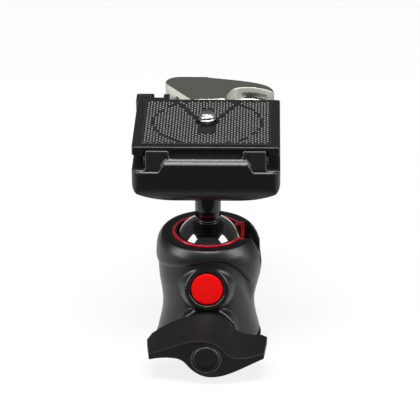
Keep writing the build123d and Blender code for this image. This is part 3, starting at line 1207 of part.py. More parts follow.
# Screw ring: clip that keeps the camera screw in the plate
with BuildPart() as screw_retaining_ring:
    with BuildSketch(Plane.XY.offset(PAD_LOW_Z - SCREW_RING_THICK - FLAT_FIT)):
        Circle(SCREW_RING_R)
        Circle(CAMERA_NECK_R, mode=Mode.SUBTRACT)
        with Locations((0, CAMERA_NECK_R)):
            Rectangle(CAMERA_NECK_R, 2 * CAMERA_NECK_R, mode=Mode.SUBTRACT)
    extrude(amount=SCREW_RING_THICK)
screw_retaining_ring.part.label = "screw_retaining_ring"
export_step(screw_retaining_ring.part, "parts/screw_retaining_ring.step")

# Folding ring: half-round wire bail in the screw's head
with BuildPart() as screw_d_ring:
    with BuildSketch(Plane.XZ):
        with Locations((D_RING_R, D_RING_Z)):
            Circle(D_RING_WIRE_R)
    revolve(axis=Axis.Z, revolution_arc=180)
    with BuildSketch(Plane.YZ.offset(-D_RING_R)):
        with Locations((0, D_RING_Z)):
            Circle(D_RING_WIRE_R)
    extrude(amount=2 * D_RING_R)
    with BuildSketch(Plane.YZ.offset(-CAMERA_SLOT_WIDTH / 2)):
        with Locations((0, D_RING_Z)):
            Rectangle(4 * D_RING_WIRE_R, 4 * D_RING_WIRE_R)
    extrude(amount=CAMERA_SLOT_WIDTH, mode=Mode.SUBTRACT)
screw_d_ring.part.label = "screw_d_ring"
export_step(screw_d_ring.part, "parts/screw_d_ring.step")
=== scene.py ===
import math

import bmesh
import bpy
from mathutils import Matrix, Vector


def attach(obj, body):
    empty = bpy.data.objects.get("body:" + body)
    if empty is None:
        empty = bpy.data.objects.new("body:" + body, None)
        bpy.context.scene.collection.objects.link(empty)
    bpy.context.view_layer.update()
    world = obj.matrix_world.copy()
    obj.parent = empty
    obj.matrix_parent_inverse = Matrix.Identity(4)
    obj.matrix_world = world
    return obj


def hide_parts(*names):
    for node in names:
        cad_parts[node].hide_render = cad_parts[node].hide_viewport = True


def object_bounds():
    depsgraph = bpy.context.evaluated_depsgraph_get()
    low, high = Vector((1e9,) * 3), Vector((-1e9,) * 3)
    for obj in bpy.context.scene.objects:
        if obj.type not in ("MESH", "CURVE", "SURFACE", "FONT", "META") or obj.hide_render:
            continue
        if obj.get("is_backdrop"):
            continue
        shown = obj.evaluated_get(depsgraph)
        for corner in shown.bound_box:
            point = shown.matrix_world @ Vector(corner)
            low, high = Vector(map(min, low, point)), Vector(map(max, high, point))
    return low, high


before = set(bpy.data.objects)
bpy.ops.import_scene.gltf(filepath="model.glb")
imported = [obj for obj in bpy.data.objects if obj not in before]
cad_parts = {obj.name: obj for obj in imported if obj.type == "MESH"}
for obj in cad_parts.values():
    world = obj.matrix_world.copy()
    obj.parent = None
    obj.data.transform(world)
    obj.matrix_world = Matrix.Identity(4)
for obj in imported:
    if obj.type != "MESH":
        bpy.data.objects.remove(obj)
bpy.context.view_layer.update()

scene = bpy.context.scene
bpy.ops.object.select_all(action="DESELECT")


# Camera: a long lens, far off, above the head and a little to its right, so that the head's sides run nearly
# parallel. The frame is shifted sideways to keep the head near its middle.
LENS_MM = 192.3
SENSOR_MM = 36.0
CAMERA_DISTANCE = 0.823
CAMERA_ELEVATION = math.radians(26.3)
CAMERA_YAW = math.radians(0.745)
CAMERA_SIDE = 0.0222
CAMERA_LOOK_Z = 0.053
CAMERA_SHIFT = -0.0770
camera_data = bpy.data.cameras.new("camera")
camera_data.lens = LENS_MM
camera_data.sensor_width = SENSOR_MM
camera_data.shift_x = CAMERA_SHIFT
camera = bpy.data.objects.new("camera", camera_data)
scene.collection.objects.link(camera)
camera.location = (
    CAMERA_SIDE,
    -CAMERA_DISTANCE * math.cos(CAMERA_ELEVATION),
    CAMERA_LOOK_Z + CAMERA_DISTANCE * math.sin(CAMERA_ELEVATION),
)
view_direction = Vector((
    -math.sin(CAMERA_YAW) * math.cos(CAMERA_ELEVATION),
    math.cos(CAMERA_YAW) * math.cos(CAMERA_ELEVATION),
    -math.sin(CAMERA_ELEVATION),
))
camera.rotation_mode = "QUATERNION"
camera.rotation_quaternion = view_direction.to_track_quat("-Z", "Y")
scene.camera = camera
scene.view_settings.view_transform = "Standard"


# Studio: a white table top, two tall softboxes at the sides and one overhead. The table looks white to the
# camera and in reflections, and keeps the object's shadow. It ends in front of the object, so that the black
# fronts mirror the grey room there.
def srgb(hex_text):
    """An sRGB hex colour as the linear values of a shader socket."""
    channels = [int(hex_text[place:place + 2], 16) / 255 for place in (1, 3, 5)]
    return (*[c / 12.92 if c <= 0.04045 else ((c + 0.055) / 1.055) ** 2.4 for c in channels], 1.0)


def add_node(material, kind, settings, **links):
    """One node of a material, with its settings and what its sockets are linked from."""
    made = material.node_tree.nodes.new(kind)
    for name, value in settings.items():
        if isinstance(name, int) or name in made.inputs:
            made.inputs[name].default_value = value
        else:
            setattr(made, name, value)
    for name, source in links.items():
        socket = int(name[1:]) if name[0] == "_" else name.replace("_", " ")
        material.node_tree.links.new(source, made.inputs[socket])
    return made


def looked_at(material):
    """1 where a ray comes from the camera, a reflection or through glass, 0 where it only carries light.
    The material may also be a world."""
    rays = add_node(material, "ShaderNodeLightPath", {})
    seen = rays.outputs["Is Camera Ray"]
    for kind in ("Is Glossy Ray", "Is Transmission Ray"):
        either = add_node(
            material, "ShaderNodeMath", {"operation": "MAXIMUM"}, _0=seen, _1=rays.outputs[kind],
        )
        seen = either.outputs[0]
    return seen


def area_light(name, width, height, power):
    """A rectangular light in the scene, in metres and watts."""
    light = bpy.data.lights.new(name, "AREA")
    light.shape = "RECTANGLE"
    light.size = width
    light.size_y = height
    light.energy = power
    made = bpy.data.objects.new(name, light)
    scene.collection.objects.link(made)
    return made


FLOOR_SIZE = 6.0
FLOOR_FRONT_Y = -0.067
FLOOR_Z = -0.0001
FLOOR_GLOW = 0.82
LIT_Z = 0.045
SOFTBOX_DISTANCE = 0.95
SOFTBOX_ANGLE = math.radians(68)
SOFTBOX_RISE = math.radians(25)
SOFTBOX_WIDTH = 0.4
SOFTBOX_HEIGHT = 0.8
SOFTBOX_POWER = 11.0
TOP_LIGHT_WIDTH = 0.8
TOP_LIGHT_DEPTH = 0.42
TOP_LIGHT_DISTANCE = 1.15
TOP_LIGHT_RISE = math.radians(73)
TOP_LIGHT_POWER = 27.0
ROOM_LIGHT = 0.05
ROOM_SEEN = 0.16

bpy.ops.mesh.primitive_plane_add(size=FLOOR_SIZE, location=(0, FLOOR_FRONT_Y + FLOOR_SIZE / 2, FLOOR_Z))
floor = bpy.context.active_object
floor.name = "floor"
# White paint: it takes shadows as a grey, and a glow that only the eye and mirrors see lifts it to white.
floor_paint = bpy.data.materials.new("white_floor")
floor_paint.use_nodes = True
floor_paint.node_tree.nodes.clear()
paint = add_node(floor_paint, "ShaderNodeBsdfDiffuse", {"Color": srgb("#505050")})
glow = add_node(floor_paint, "ShaderNodeEmission", {"Color": (1, 1, 1, 1), "Strength": FLOOR_GLOW})
lit_paint = add_node(floor_paint, "ShaderNodeAddShader", {}, _0=paint.outputs[0], _1=glow.outputs[0])
shown = add_node(
    floor_paint, "ShaderNodeMixShader", {},
    _0=looked_at(floor_paint), _1=paint.outputs[0], _2=lit_paint.outputs[0],
)
add_node(floor_paint, "ShaderNodeOutputMaterial", {}, Surface=shown.outputs[0])
floor.data.materials.append(floor_paint)
floor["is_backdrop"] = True

for side in (-1, 1):
    softbox = area_light("softbox", SOFTBOX_WIDTH, SOFTBOX_HEIGHT, SOFTBOX_POWER)
    softbox.location = (
        side * SOFTBOX_DISTANCE * math.sin(SOFTBOX_ANGLE) * math.cos(SOFTBOX_RISE),
        -SOFTBOX_DISTANCE * math.cos(SOFTBOX_ANGLE) * math.cos(SOFTBOX_RISE),
        LIT_Z + SOFTBOX_DISTANCE * math.sin(SOFTBOX_RISE),
    )
    softbox.rotation_mode = "QUATERNION"
    softbox.rotation_quaternion = (Vector((0, 0, LIT_Z)) - softbox.location).to_track_quat("-Z", "Y")
overhead = area_light("overhead", TOP_LIGHT_WIDTH, TOP_LIGHT_DEPTH, TOP_LIGHT_POWER)
overhead.location = (
    0, -TOP_LIGHT_DISTANCE * math.cos(TOP_LIGHT_RISE), TOP_LIGHT_DISTANCE * math.sin(TOP_LIGHT_RISE),
)
overhead.rotation_euler = (math.radians(90) - TOP_LIGHT_RISE, 0, 0)

# The room lights the object faintly; to the camera and in reflections it is a mid grey.
room = bpy.data.worlds.new("room")
scene.world = room
room.use_nodes = True
walls = room.node_tree.nodes["Background"]
walls.inputs["Color"].default_value = (1, 1, 1, 1)
brightness = add_node(
    room, "ShaderNodeMapRange", {"To Min": ROOM_LIGHT, "To Max": ROOM_SEEN}, Value=looked_at(room),
)
room.node_tree.links.new(brightness.outputs[0], walls.inputs["Strength"])


# Base plate: a turned aluminium disc, black anodised, that the tripod's screw holds from below. Its hub
# carries the panning housing.
MM = 0.001


def surface(name, settings, grain_mm, colours, roughness, bump_mm):
    """A material with a grain of a real width, that varies its colour and roughness between two values
    each and raises a fine relief. The settings go straight to the shader's sockets."""
    material = bpy.data.materials.new(name)
    material.use_nodes = True
    shader = material.node_tree.nodes["Principled BSDF"]
    for socket, value in settings.items():
        shader.inputs[socket].default_value = value
    place = add_node(material, "ShaderNodeTexCoord", {})
    grain = add_node(
        material, "ShaderNodeTexNoise", {"Scale": 1 / (grain_mm * MM), "Detail": 3.0, "Roughness": 0.6},
        Vector=place.outputs["Object"],
    )
    dark, light = (srgb(colour) for colour in colours)
    # A Mix node's colours are its inputs 6 and 7 and its output 2.
    tint = add_node(material, "ShaderNodeMix", {"data_type": "RGBA", 6: dark, 7: light}, _0=grain.outputs[0])
    low_rough, high_rough = roughness
    gloss = add_node(
        material, "ShaderNodeMapRange", {"To Min": low_rough, "To Max": high_rough}, Value=grain.outputs[0],
    )
    relief = add_node(
        material, "ShaderNodeBump", {"Strength": 1.0, "Distance": bump_mm * MM}, Height=grain.outputs[0],
    )
    material.node_tree.links.new(tint.outputs[2], shader.inputs["Base Color"])
    material.node_tree.links.new(gloss.outputs[0], shader.inputs["Roughness"])
    material.node_tree.links.new(relief.outputs[0], shader.inputs["Normal"])
    return material


def dress(material, *nodes):
    """The finish of CAD pieces that keep their plain form."""
    for node in nodes:
        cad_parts[node].data.materials.clear()
        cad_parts[node].data.materials.append(material)


# Black anodised aluminium, finely turned: a dark metal with a satin sheen.
black_anodised = surface(
    "black_anodised_turned_aluminium", {"Metallic": 0.85}, grain_mm=0.12,
    colours=("#26262a", "#333338"), roughness=(0.32, 0.44), bump_mm=0.004,
)
dress(black_anodised, "base_plate")


# Panning bearing: a natural nylon friction ring and a black nylon thrust washer, both moulded. A turned disc
# closes the housing below, and two stamped spring steel clips in their grooves hold the stack together.

# Natural nylon: a warm milky white that light goes a little way into.
natural_nylon = surface(
    "natural_nylon", {"Subsurface Weight": 0.1}, grain_mm=0.4,
    colours=("#d2cfc2", "#dedbd0"), roughness=(0.42, 0.52), bump_mm=0.005,
)
# Black nylon, moulded: a dull near black.
black_nylon = surface(
    "black_nylon_moulded", {}, grain_mm=0.3,
    colours=("#1b1b1c", "#242425"), roughness=(0.45, 0.58), bump_mm=0.006,
)
# Blued spring steel: a mid grey metal with a trace of blue and soft reflections.
spring_steel = surface(
    "blued_spring_steel", {"Metallic": 1.0}, grain_mm=0.2,
    colours=("#7c7d82", "#8f9094"), roughness=(0.24, 0.36), bump_mm=0.003,
)
# Aluminium as machined: a pale metal with blurred reflections.
machined_aluminium = surface(
    "machined_aluminium", {"Metallic": 1.0}, grain_mm=0.15,
    colours=("#b4b5b8", "#c4c5c8"), roughness=(0.26, 0.38), bump_mm=0.003,
)
dress(natural_nylon, "pan_friction_washer")
dress(black_nylon, "pan_thrust_washer")
dress(spring_steel, "pan_retaining_ring", "floor_circlip")
dress(machined_aluminium, "floor_disc")


# Housing: a die-cast shell in fine black powder coat that pans, holds the ball and carries the knob. A soft
# S-shaped crease runs round it and down round the drop slot.
def pick(piece):
    """Makes a piece the only selected one, and the active one."""
    bpy.ops.object.select_all(action="DESELECT")
    piece.select_set(True)
    bpy.context.view_layer.objects.active = piece


def blank_copy(node, name):
    """A closed copy of a CAD piece, its loose triangles merged, to be worked on."""
    piece = bpy.data.objects.new(name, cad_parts[node].data.copy())
    scene.collection.objects.link(piece)
    piece.data.materials.clear()
    pick(piece)
    bpy.ops.object.mode_set(mode="EDIT")
    bpy.ops.mesh.select_all(action="SELECT")
    bpy.ops.mesh.remove_doubles(threshold=0.000001)
    bpy.ops.object.mode_set(mode="OBJECT")
    return piece


def cast_skin(piece, voxel_mm, soften):
    """The seamless, softly edged skin of a casting or moulding: remeshed evenly and smoothed."""
    pick(piece)
    even = piece.modifiers.new("even", "REMESH")
    even.mode = "VOXEL"
    even.voxel_size = voxel_mm * MM
    bpy.ops.object.modifier_apply(modifier=even.name)
    soft = piece.modifiers.new("soft", "SMOOTH")
    soft.factor = 0.5
    soft.iterations = soften
    bpy.ops.object.modifier_apply(modifier=soft.name)
    bpy.ops.object.shade_smooth()


def soft_step(value, low, high):
    """0 below low, 1 above high, and smooth between."""
    part = min(max((value - low) / (high - low), 0), 1)
    return part * part * (3 - 2 * part)


# Height of the crease against the angle from the slot, in degrees and mm; the back mirrors the front.
CREASE = [
    (0, 22.6), (22, 24.6), (35, 29.4), (45, 33.2), (52, 36.0), (59, 38.3), (66, 40.0), (74, 41.0),
    (87, 41.1), (98, 40.3), (109, 39.3), (122, 38.2), (133, 37.3), (145, 36.4), (158, 35.2), (180, 34.4),
]
CREASE_STEP = 1.1
# Below the crease the wall is sunk between these depths, and comes back to its form between the next two.
CREASE_SINK = (-0.7, 1.3)
CREASE_RETURN = (1.6, 9.0)
# Angles between which the crease fades in from the slot, and grows shallower at the back.
SLOT_FADE = (14, 40)
BACK_FADE = (110, 165)
BACK_LOSS = 0.55
# Above the crease a lobe swells on the slot's side. By the slot its lower edge is softer.
LOBE_SWELL = 1.0
LOBE_LOW = -1.4
LOBE_FULL = 1.2
LOBE_LOW_BY_SLOT = 6
LOBE_FULL_BY_SLOT = 5
LOBE_FADE = (30, 62)
LOBE_TOP_Z = (37, 43)
# Only the outer skin takes this form, not the bore, the top face, the foot or the spindle's boss in front.
SKIN_R = (15.9, 16.6)
SKIN_LOW_Z = 6
SKIN_HIGH_Z = 43.9
BOSS_BACK_Y = -19.0
BOSS_TOP_Z = 24


def crease_height(angle):
    """The crease's height at an angle, in straight runs between its places."""
    for (start, low), (end, high) in zip(CREASE, CREASE[1:]):
        if angle <= end:
            return low + (high - low) * (angle - start) / (end - start)
    return CREASE[-1][1]


housing = blank_copy("housing", "housing_shell")
cast_skin(housing, voxel_mm=0.42, soften=4)
for vertex in housing.data.vertices:
    x, y, z = (c / MM for c in vertex.co)
    radius = math.hypot(x, y)
    on_boss = y < BOSS_BACK_Y and z < BOSS_TOP_Z
    if radius < SKIN_R[0] or z > SKIN_HIGH_Z or z < SKIN_LOW_Z or on_boss:
        continue
    angle = abs(math.degrees(math.atan2(y, x)))
    above = z - crease_height(angle)
    near_slot = 1 - soft_step(angle, *SLOT_FADE)
    sunk = soft_step(-above, *CREASE_SINK) * (1 - soft_step(-above, *CREASE_RETURN)) * (1 - near_slot)
    lobe_low = LOBE_LOW - LOBE_LOW_BY_SLOT * near_slot
    lobe_full = LOBE_FULL + LOBE_FULL_BY_SLOT * near_slot
    lobe = soft_step(above, lobe_low, lobe_full) * (1 - soft_step(angle, *LOBE_FADE))
    lobe *= 1 - soft_step(z, *LOBE_TOP_Z)
    step = CREASE_STEP * sunk * (1 - BACK_LOSS * soft_step(angle, *BACK_FADE))
    shift = soft_step(radius, *SKIN_R) * (LOBE_SWELL * lobe - step)
    vertex.co.x += x / radius * shift * MM
    vertex.co.y += y / radius * shift * MM

# Fine textured powder coat: black and satin, with a pebbled relief about 0.35 mm across.
powder_coat = surface(
    "black_textured_powder_coat", {"Specular IOR Level": 0.38}, grain_mm=0.34,
    colours=("#050506", "#0b0b0c"), roughness=(0.3, 0.4), bump_mm=0.018,
)
housing.data.materials.append(powder_coat)
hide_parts("housing")
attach(housing, "pan_housing")


# Badge: a bare domed disc of glossy red plastic, moulded in one piece and glued in its round recess on the
# front, a little tilted up.
def turned(name, rings, sides=96):
    """A turned piece: a circle is extruded and scaled from ring to ring of (radius, height) in mm."""
    bpy.ops.object.select_all(action="DESELECT")
    radius, height = rings[0]
    bpy.ops.mesh.primitive_circle_add(vertices=sides, radius=radius * MM, location=(0, 0, height * MM))
    piece = bpy.context.active_object
    piece.name = name
    bpy.ops.object.transform_apply(location=True, rotation=True, scale=True)
    bpy.ops.object.mode_set(mode="EDIT")
    bpy.ops.mesh.select_all(action="SELECT")
    for next_radius, next_height in rings[1:]:
        bpy.ops.mesh.extrude_region_move(
            TRANSFORM_OT_translate={"value": (0, 0, (next_height - height) * MM)}
        )
        if abs(next_radius - radius) > 0.0001:
            scale = next_radius / radius
            bpy.ops.transform.resize(value=(scale, scale, 1), center_override=(0, 0, next_height * MM))
        radius, height = next_radius, next_height
    bpy.ops.mesh.select_all(action="SELECT")
    bpy.ops.mesh.remove_doubles(threshold=0.00002)
    bpy.ops.mesh.fill_holes(sides=0)
    bpy.ops.mesh.normals_make_consistent(inside=False)
    bpy.ops.object.mode_set(mode="OBJECT")
    bpy.ops.object.shade_smooth_by_angle(angle=math.radians(32))
    return piece


BADGE_R = 5.85
BADGE_THICK = 1.2
BADGE_TILT = math.radians(8)
BADGE_PLACE = Vector((0, -20.2, 30.4)) * MM
BADGE_SUNK = 1.5
badge = turned("badge", [
    (BADGE_R - 0.1, 0), (BADGE_R, 0.1), (BADGE_R, 0.75), (BADGE_R - 0.12, 0.95), (BADGE_R - 0.4, 1.04),
    (4.6, 1.1), (3.4, 1.14), (2.0, 1.18), (0.8, 1.195), (0.01, BADGE_THICK),
])
facing = Vector((0, -math.cos(BADGE_TILT), math.sin(BADGE_TILT)))
turn = facing.to_track_quat("Z", "Y").to_matrix().to_4x4()
badge.data.transform(Matrix.Translation(BADGE_PLACE - facing * BADGE_SUNK * MM) @ turn)
# Glossy red plastic under a thin clear coat: an even, strong red with soft highlights.
red_plastic = surface(
    "glossy_red_plastic", {"Specular IOR Level": 0.2, "Coat Weight": 0.15, "Coat Roughness": 0.06},
    grain_mm=2.0, colours=("#ab0706", "#ba0908"), roughness=(0.2, 0.28), bump_mm=0.002,
)
badge.data.materials.append(red_plastic)
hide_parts("badge_disc")
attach(badge, "pan_housing")


# Accent ring: an open ring of red anodised aluminium, pressed in the top face round the ball. Its ends turn
# down into the drop slot.
ring = blank_copy("accent_ring", "accent_ring_bent")
cast_skin(ring, voxel_mm=0.13, soften=3)
# Red anodised aluminium: a deep metallic red with a bright sheen.
red_anodised = surface(
    "red_anodised_aluminium", {"Metallic": 0.45, "Coat Weight": 0.4}, grain_mm=0.3,
    colours=("#c91227", "#da1a32"), roughness=(0.22, 0.34), bump_mm=0.003,
)
ring.data.materials.append(red_anodised)
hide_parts("accent_ring")
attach(ring, "pan_housing")


# Inside the housing: the seats and cup of the ball and the brake's pad in black nylon, the piston of machined
# aluminium, the wedge and spindle of zinc-plated steel, and the spindle's bush of brass.

# Zinc-plated steel: a pale grey metal, a little uneven in its gloss.
zinc_steel = surface(
    "zinc_plated_steel", {"Metallic": 1.0}, grain_mm=0.5,
    colours=("#a5a7aa", "#b9babb"), roughness=(0.26, 0.4), bump_mm=0.003,
)
# Turned brass: a warm yellow metal with soft reflections.
brass = surface(
    "turned_brass", {"Metallic": 1.0}, grain_mm=0.3,
    colours=("#b8943f", "#c9a550"), roughness=(0.24, 0.34), bump_mm=0.003,
)
dress(black_nylon, "upper_seat", "friction_cup", "pan_brake_pad")
dress(machined_aluminium, "push_piston")
dress(zinc_steel, "lock_wedge", "lock_spindle")
dress(brass, "spindle_bush")


# Locking knob: two swept wings round a hub, moulded in matte black plastic over a brass insert. A screw from
# the front holds it on the spindle.
knob = blank_copy("wing_knob", "knob_moulding")
cast_skin(knob, voxel_mm=0.24, soften=3)
# Matte black plastic, moulded with a fine spark-eroded grain: dark, with only a broad soft sheen.
knob_plastic = surface(
    "matte_black_moulded_plastic", {"Specular IOR Level": 0.15}, grain_mm=0.22,
    colours=("#090909", "#0e0e0f"), roughness=(0.42, 0.52), bump_mm=0.008,
)
knob.data.materials.append(knob_plastic)
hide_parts("wing_knob")
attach(knob, "knob")
dress(brass, "knob_insert")
dress(zinc_steel, "knob_screw")


# Knob cap: a glossy black plastic disc with two raised rings, moulded and pressed in the knob's hub, over
# the screw.
KNOB_AXIS_Z = 11.0
KNOB_FRONT_Y = -37.0
CAP_SINK = 0.3
CAP_CRESTS = ((5.3, 5.6), (4.5, 4.7))
cap = turned("cap", [
    (5.7, -1.2), (5.75, -1.1), (5.75, -0.3), (5.6, -0.05), (5.3, 0.0), (5.1, -0.12), (4.9, -0.22),
    (4.75, -0.22), (4.65, -0.08), (4.5, 0.0), (4.3, -0.02), (4.15, -0.14), (4.0, -0.2), (2.5, -0.17),
    (0.01, -0.15),
])
cap.data.transform(
    Matrix.Translation((0, (KNOB_FRONT_Y + CAP_SINK) * MM, KNOB_AXIS_Z * MM))
    @ Matrix.Rotation(math.radians(90), 4, "X")
)
# Glossy black plastic: near black, with soft bright reflections. The crests of the rings are painted paler, a
# painted highlight on their edges.
gloss_plastic = surface(
    "glossy_black_plastic", {"Specular IOR Level": 0.15}, grain_mm=0.8,
    colours=("#040405", "#08080a"), roughness=(0.16, 0.26), bump_mm=0.002,
)
painted_crest_highlight = surface(
    "plastic_ridge_painted_highlight", {}, grain_mm=0.4,
    colours=("#2c2d2e", "#3c3d3e"), roughness=(0.3, 0.4), bump_mm=0.002,
)
cap.data.materials.append(gloss_plastic)
cap.data.materials.append(painted_crest_highlight)
# Painted highlight: the faces on the rings' crests take the paler paint.
for face in cap.data.polygons:
    from_axis = math.hypot(face.center.x, face.center.z - KNOB_AXIS_Z * MM) / MM
    if any(inner < from_axis < outer for inner, outer in CAP_CRESTS):
        face.material_index = 1
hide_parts("knob_cap")
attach(cap, "knob")


# Ball: one turned piece of aluminium with its neck, polished and anodised black. It is pressed up into its
# seat by the cup, and the neck carries the clamp.
BALL_R = 13.0
BALL_Z = 37.4
BALL_STEPS = 60
NECK_R = 3.9
NECK_TOP_Z = 76.0
neck_angle = math.asin(NECK_R / BALL_R)
angles = [math.pi - i * (math.pi - neck_angle) / BALL_STEPS for i in range(BALL_STEPS + 1)]
ball = turned(
    "ball_and_neck",
    [(max(BALL_R * math.sin(a), 0.01), BALL_Z + BALL_R * math.cos(a)) for a in angles]
    + [(NECK_R, 60), (NECK_R, NECK_TOP_Z - 0.2), (NECK_R - 0.2, NECK_TOP_Z), (2.0, NECK_TOP_Z)],
    sides=128,
)
# Polished black anodised aluminium: as bright as a dark mirror, with sharp edges to its reflections.
polished_black = surface(
    "polished_black_anodised_aluminium",
    {"Metallic": 0.2, "Coat Weight": 1.0, "Coat Roughness": 0.02, "Coat IOR": 1.8},
    grain_mm=1.5, colours=("#060607", "#09090a"), roughness=(0.1, 0.16), bump_mm=0.0,
)
ball.data.materials.append(polished_black)
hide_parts("ball")
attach(ball, "head")


# Stem sleeve: a turned tube, polished and plated dark, that sits loose round the neck. Its lower edge is
# bevelled and left bright.
SLEEVE_R = 4.85
SLEEVE_BORE_R = NECK_R + 0.05
SLEEVE_LOW_Z = 49.95
SLEEVE_TOP_Z = 64.25
SLEEVE_BEVEL = 0.4
sleeve = turned("sleeve_tube", [
    (SLEEVE_BORE_R, SLEEVE_TOP_Z), (SLEEVE_BORE_R, SLEEVE_LOW_Z), (SLEEVE_R - 0.45, SLEEVE_LOW_Z),
    (SLEEVE_R - 0.05, SLEEVE_LOW_Z + SLEEVE_BEVEL), (SLEEVE_R, SLEEVE_LOW_Z + 0.5), (SLEEVE_R, 57),
    (SLEEVE_R, SLEEVE_TOP_Z), (SLEEVE_BORE_R, SLEEVE_TOP_Z),
])
# Black chrome plate: nearly black, with clear reflections. The bright turned bevel is a thin pale line.
black_chrome = surface(
    "black_chrome_plate",
    {"Specular IOR Level": 0.1, "Coat Weight": 0.6, "Coat Roughness": 0.08, "Coat IOR": 1.5},
    grain_mm=0.8, colours=("#030304", "#060607"), roughness=(0.14, 0.22), bump_mm=0.001,
)
bright_bevel = surface(
    "bright_turned_bevel", {"Metallic": 0.4}, grain_mm=0.3,
    colours=("#b0b1b3", "#c6c7c8"), roughness=(0.16, 0.26), bump_mm=0.001,
)
sleeve.data.materials.append(black_chrome)
sleeve.data.materials.append(bright_bevel)
for face in sleeve.data.polygons:
    if SLEEVE_LOW_Z < face.center.z / MM < SLEEVE_LOW_Z + SLEEVE_BEVEL:
        face.material_index = 1
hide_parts("stem_sleeve")
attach(sleeve, "sleeve")


# Receiver: the die-cast clamp body in the same powder coat, with two jaws, the lever's ear and the catch's
# ear. A screw and a dowel hold it on the neck; the sprung brass pin under the plate has its bush in it.
FRONT_Y = -24.0
WALL_TOP_Z = 84.1
SHOULDER_Z = 79.8
# The wall's top falls to the shoulder at each end: a straight slope in the solid, an S-shaped one here.
SLOPE_START_X = 14.0
SLOPE_RUN = 3.3
CURVE_START_X = 14.7
CURVE_RUN = 2.4
# The jaws' fronts lean back behind the wall and keep their form.
JAW_SETBACK = 0.5
JAW_LEAN = 0.31
WALL_MARGIN = (0.05, 0.35)
WALL_FADE_Z = (76, 80)
# The wall's square front edge becomes a slope with softly rounded ends, smaller at the shoulders. Points a
# little over the wall's top take part too.
EDGE_DEEP = 2.5
EDGE_DEEP_LOSS = 1.3
EDGE_HIGH = 2.2
EDGE_HIGH_LOSS = 1.2
EDGE_CURVE = 1.12
EDGE_OVERSHOOT = 1.3
receiver = blank_copy("receiver_body", "receiver_casting")
cast_skin(receiver, voxel_mm=0.36, soften=4)
for vertex in receiver.data.vertices:
    x, y, z = (c / MM for c in vertex.co)
    slope = min(max((abs(x) - SLOPE_START_X) / SLOPE_RUN, 0), 1)
    curve = soft_step(abs(x), CURVE_START_X, CURVE_START_X + CURVE_RUN)
    jaw_y = FRONT_Y + JAW_SETBACK + max(z - SHOULDER_Z, 0) * JAW_LEAN
    in_wall = soft_step(jaw_y - y, *WALL_MARGIN) * soft_step(z, *WALL_FADE_Z)
    z += (WALL_TOP_Z - SHOULDER_Z) * (slope - curve) * in_wall
    vertex.co.z = z * MM
    wall_top = WALL_TOP_Z - (WALL_TOP_Z - SHOULDER_Z) * curve
    edge_deep = EDGE_DEEP - EDGE_DEEP_LOSS * curve
    edge_high = EDGE_HIGH - EDGE_HIGH_LOSS * curve
    toward_front = 1 - (y - FRONT_Y) / edge_deep
    toward_top = 1 - (wall_top - z) / edge_high
    if 0 < toward_front and 0 < toward_top < EDGE_OVERSHOOT:
        reach = (toward_front ** EDGE_CURVE + toward_top ** EDGE_CURVE) ** (1 / EDGE_CURVE)
        round_off = max(toward_front, toward_top) / reach
        vertex.co.y = (FRONT_Y + edge_deep * (1 - toward_front * round_off)) * MM
        vertex.co.z = (wall_top - edge_high * (1 - toward_top * round_off)) * MM
receiver.data.materials.append(powder_coat)
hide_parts("receiver_body")
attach(receiver, "head")
dress(zinc_steel, "receiver_screw", "receiver_dowel")
dress(brass, "trigger_bush", "trigger_pin")
dress(spring_steel, "trigger_spring")


# Release lever: a die-cast paddle in satin gunmetal paint, hinged on a steel pin in the receiver's ear and
# sprung shut. It has a finger notch with a pocket behind it, and a sloped facet at its free end.
def prism(name, outline, low, high):
    """A straight block over an outline of (x, y) points, between two heights, all in mm."""
    mesh = bpy.data.meshes.new(name)
    mesh.from_pydata([(x * MM, y * MM, low * MM) for x, y in outline], [], [range(len(outline))])
    block = bpy.data.objects.new(name, mesh)
    scene.collection.objects.link(block)
    pick(block)
    bpy.ops.object.mode_set(mode="EDIT")
    bpy.ops.mesh.select_all(action="SELECT")
    bpy.ops.mesh.extrude_region_move(TRANSFORM_OT_translate={"value": (0, 0, (high - low) * MM)})
    bpy.ops.mesh.select_all(action="SELECT")
    bpy.ops.mesh.normals_make_consistent(inside=False)
    bpy.ops.object.mode_set(mode="OBJECT")
    return block


def cut_away(piece, cutter):
    """Cuts one shape out of another and clears the cutter."""
    pick(piece)
    cut = piece.modifiers.new("cut", "BOOLEAN")
    cut.operation = "DIFFERENCE"
    cut.object = cutter
    bpy.ops.object.modifier_apply(modifier=cut.name)
    bpy.data.objects.remove(cutter)


def rounded(outline, rounds):
    """An open run of points with its corners cut off again and again, which makes a smooth curve."""
    for _ in range(rounds):
        cut = [outline[0]]
        for (x0, y0), (x1, y1) in zip(outline, outline[1:]):
            cut.append((x0 * 0.75 + x1 * 0.25, y0 * 0.75 + y1 * 0.25))
            cut.append((x0 * 0.25 + x1 * 0.75, y0 * 0.25 + y1 * 0.75))
        outline = cut + [outline[-1]]
    return outline


LEVER_TOP_Z = 87.0
NOTCH_DEPTH = 5.0
NOTCH_EDGE = [
    (5.6, 20), (6.0, 24.8), (7.2, 29.5), (8.9, 33.2), (10.4, 34.3), (14.2, 34.9), (18.0, 34.3),
    (22.0, 32.0), (24.6, 29.0), (24.6, 20),
]
POCKET_TOP_Z = 84.7
POCKET_SILL = 0.4
POCKET_EDGE = [
    (11.0, 30), (11.6, 34.6), (12.8, 36.2), (15.0, 36.6), (18.6, 35.8), (21.2, 34.0), (22.0, 30),
]
FRONT_STEP_Z = 86.4
FRONT_STEP = [(-8.2, 20), (-7.0, 23.2), (2.0, 23.4), (6.2, 24.9), (6.2, 20)]
# The cutters reach this far above the lever's top, and their corners are cut off this many times.
CUT_OVER = 1
EDGE_ROUNDS = 3
FACET_PLACE = Vector((-16.4, 37.7, 87.0))
FACET_NORMAL = Vector((-0.68, -0.45, 0.58))
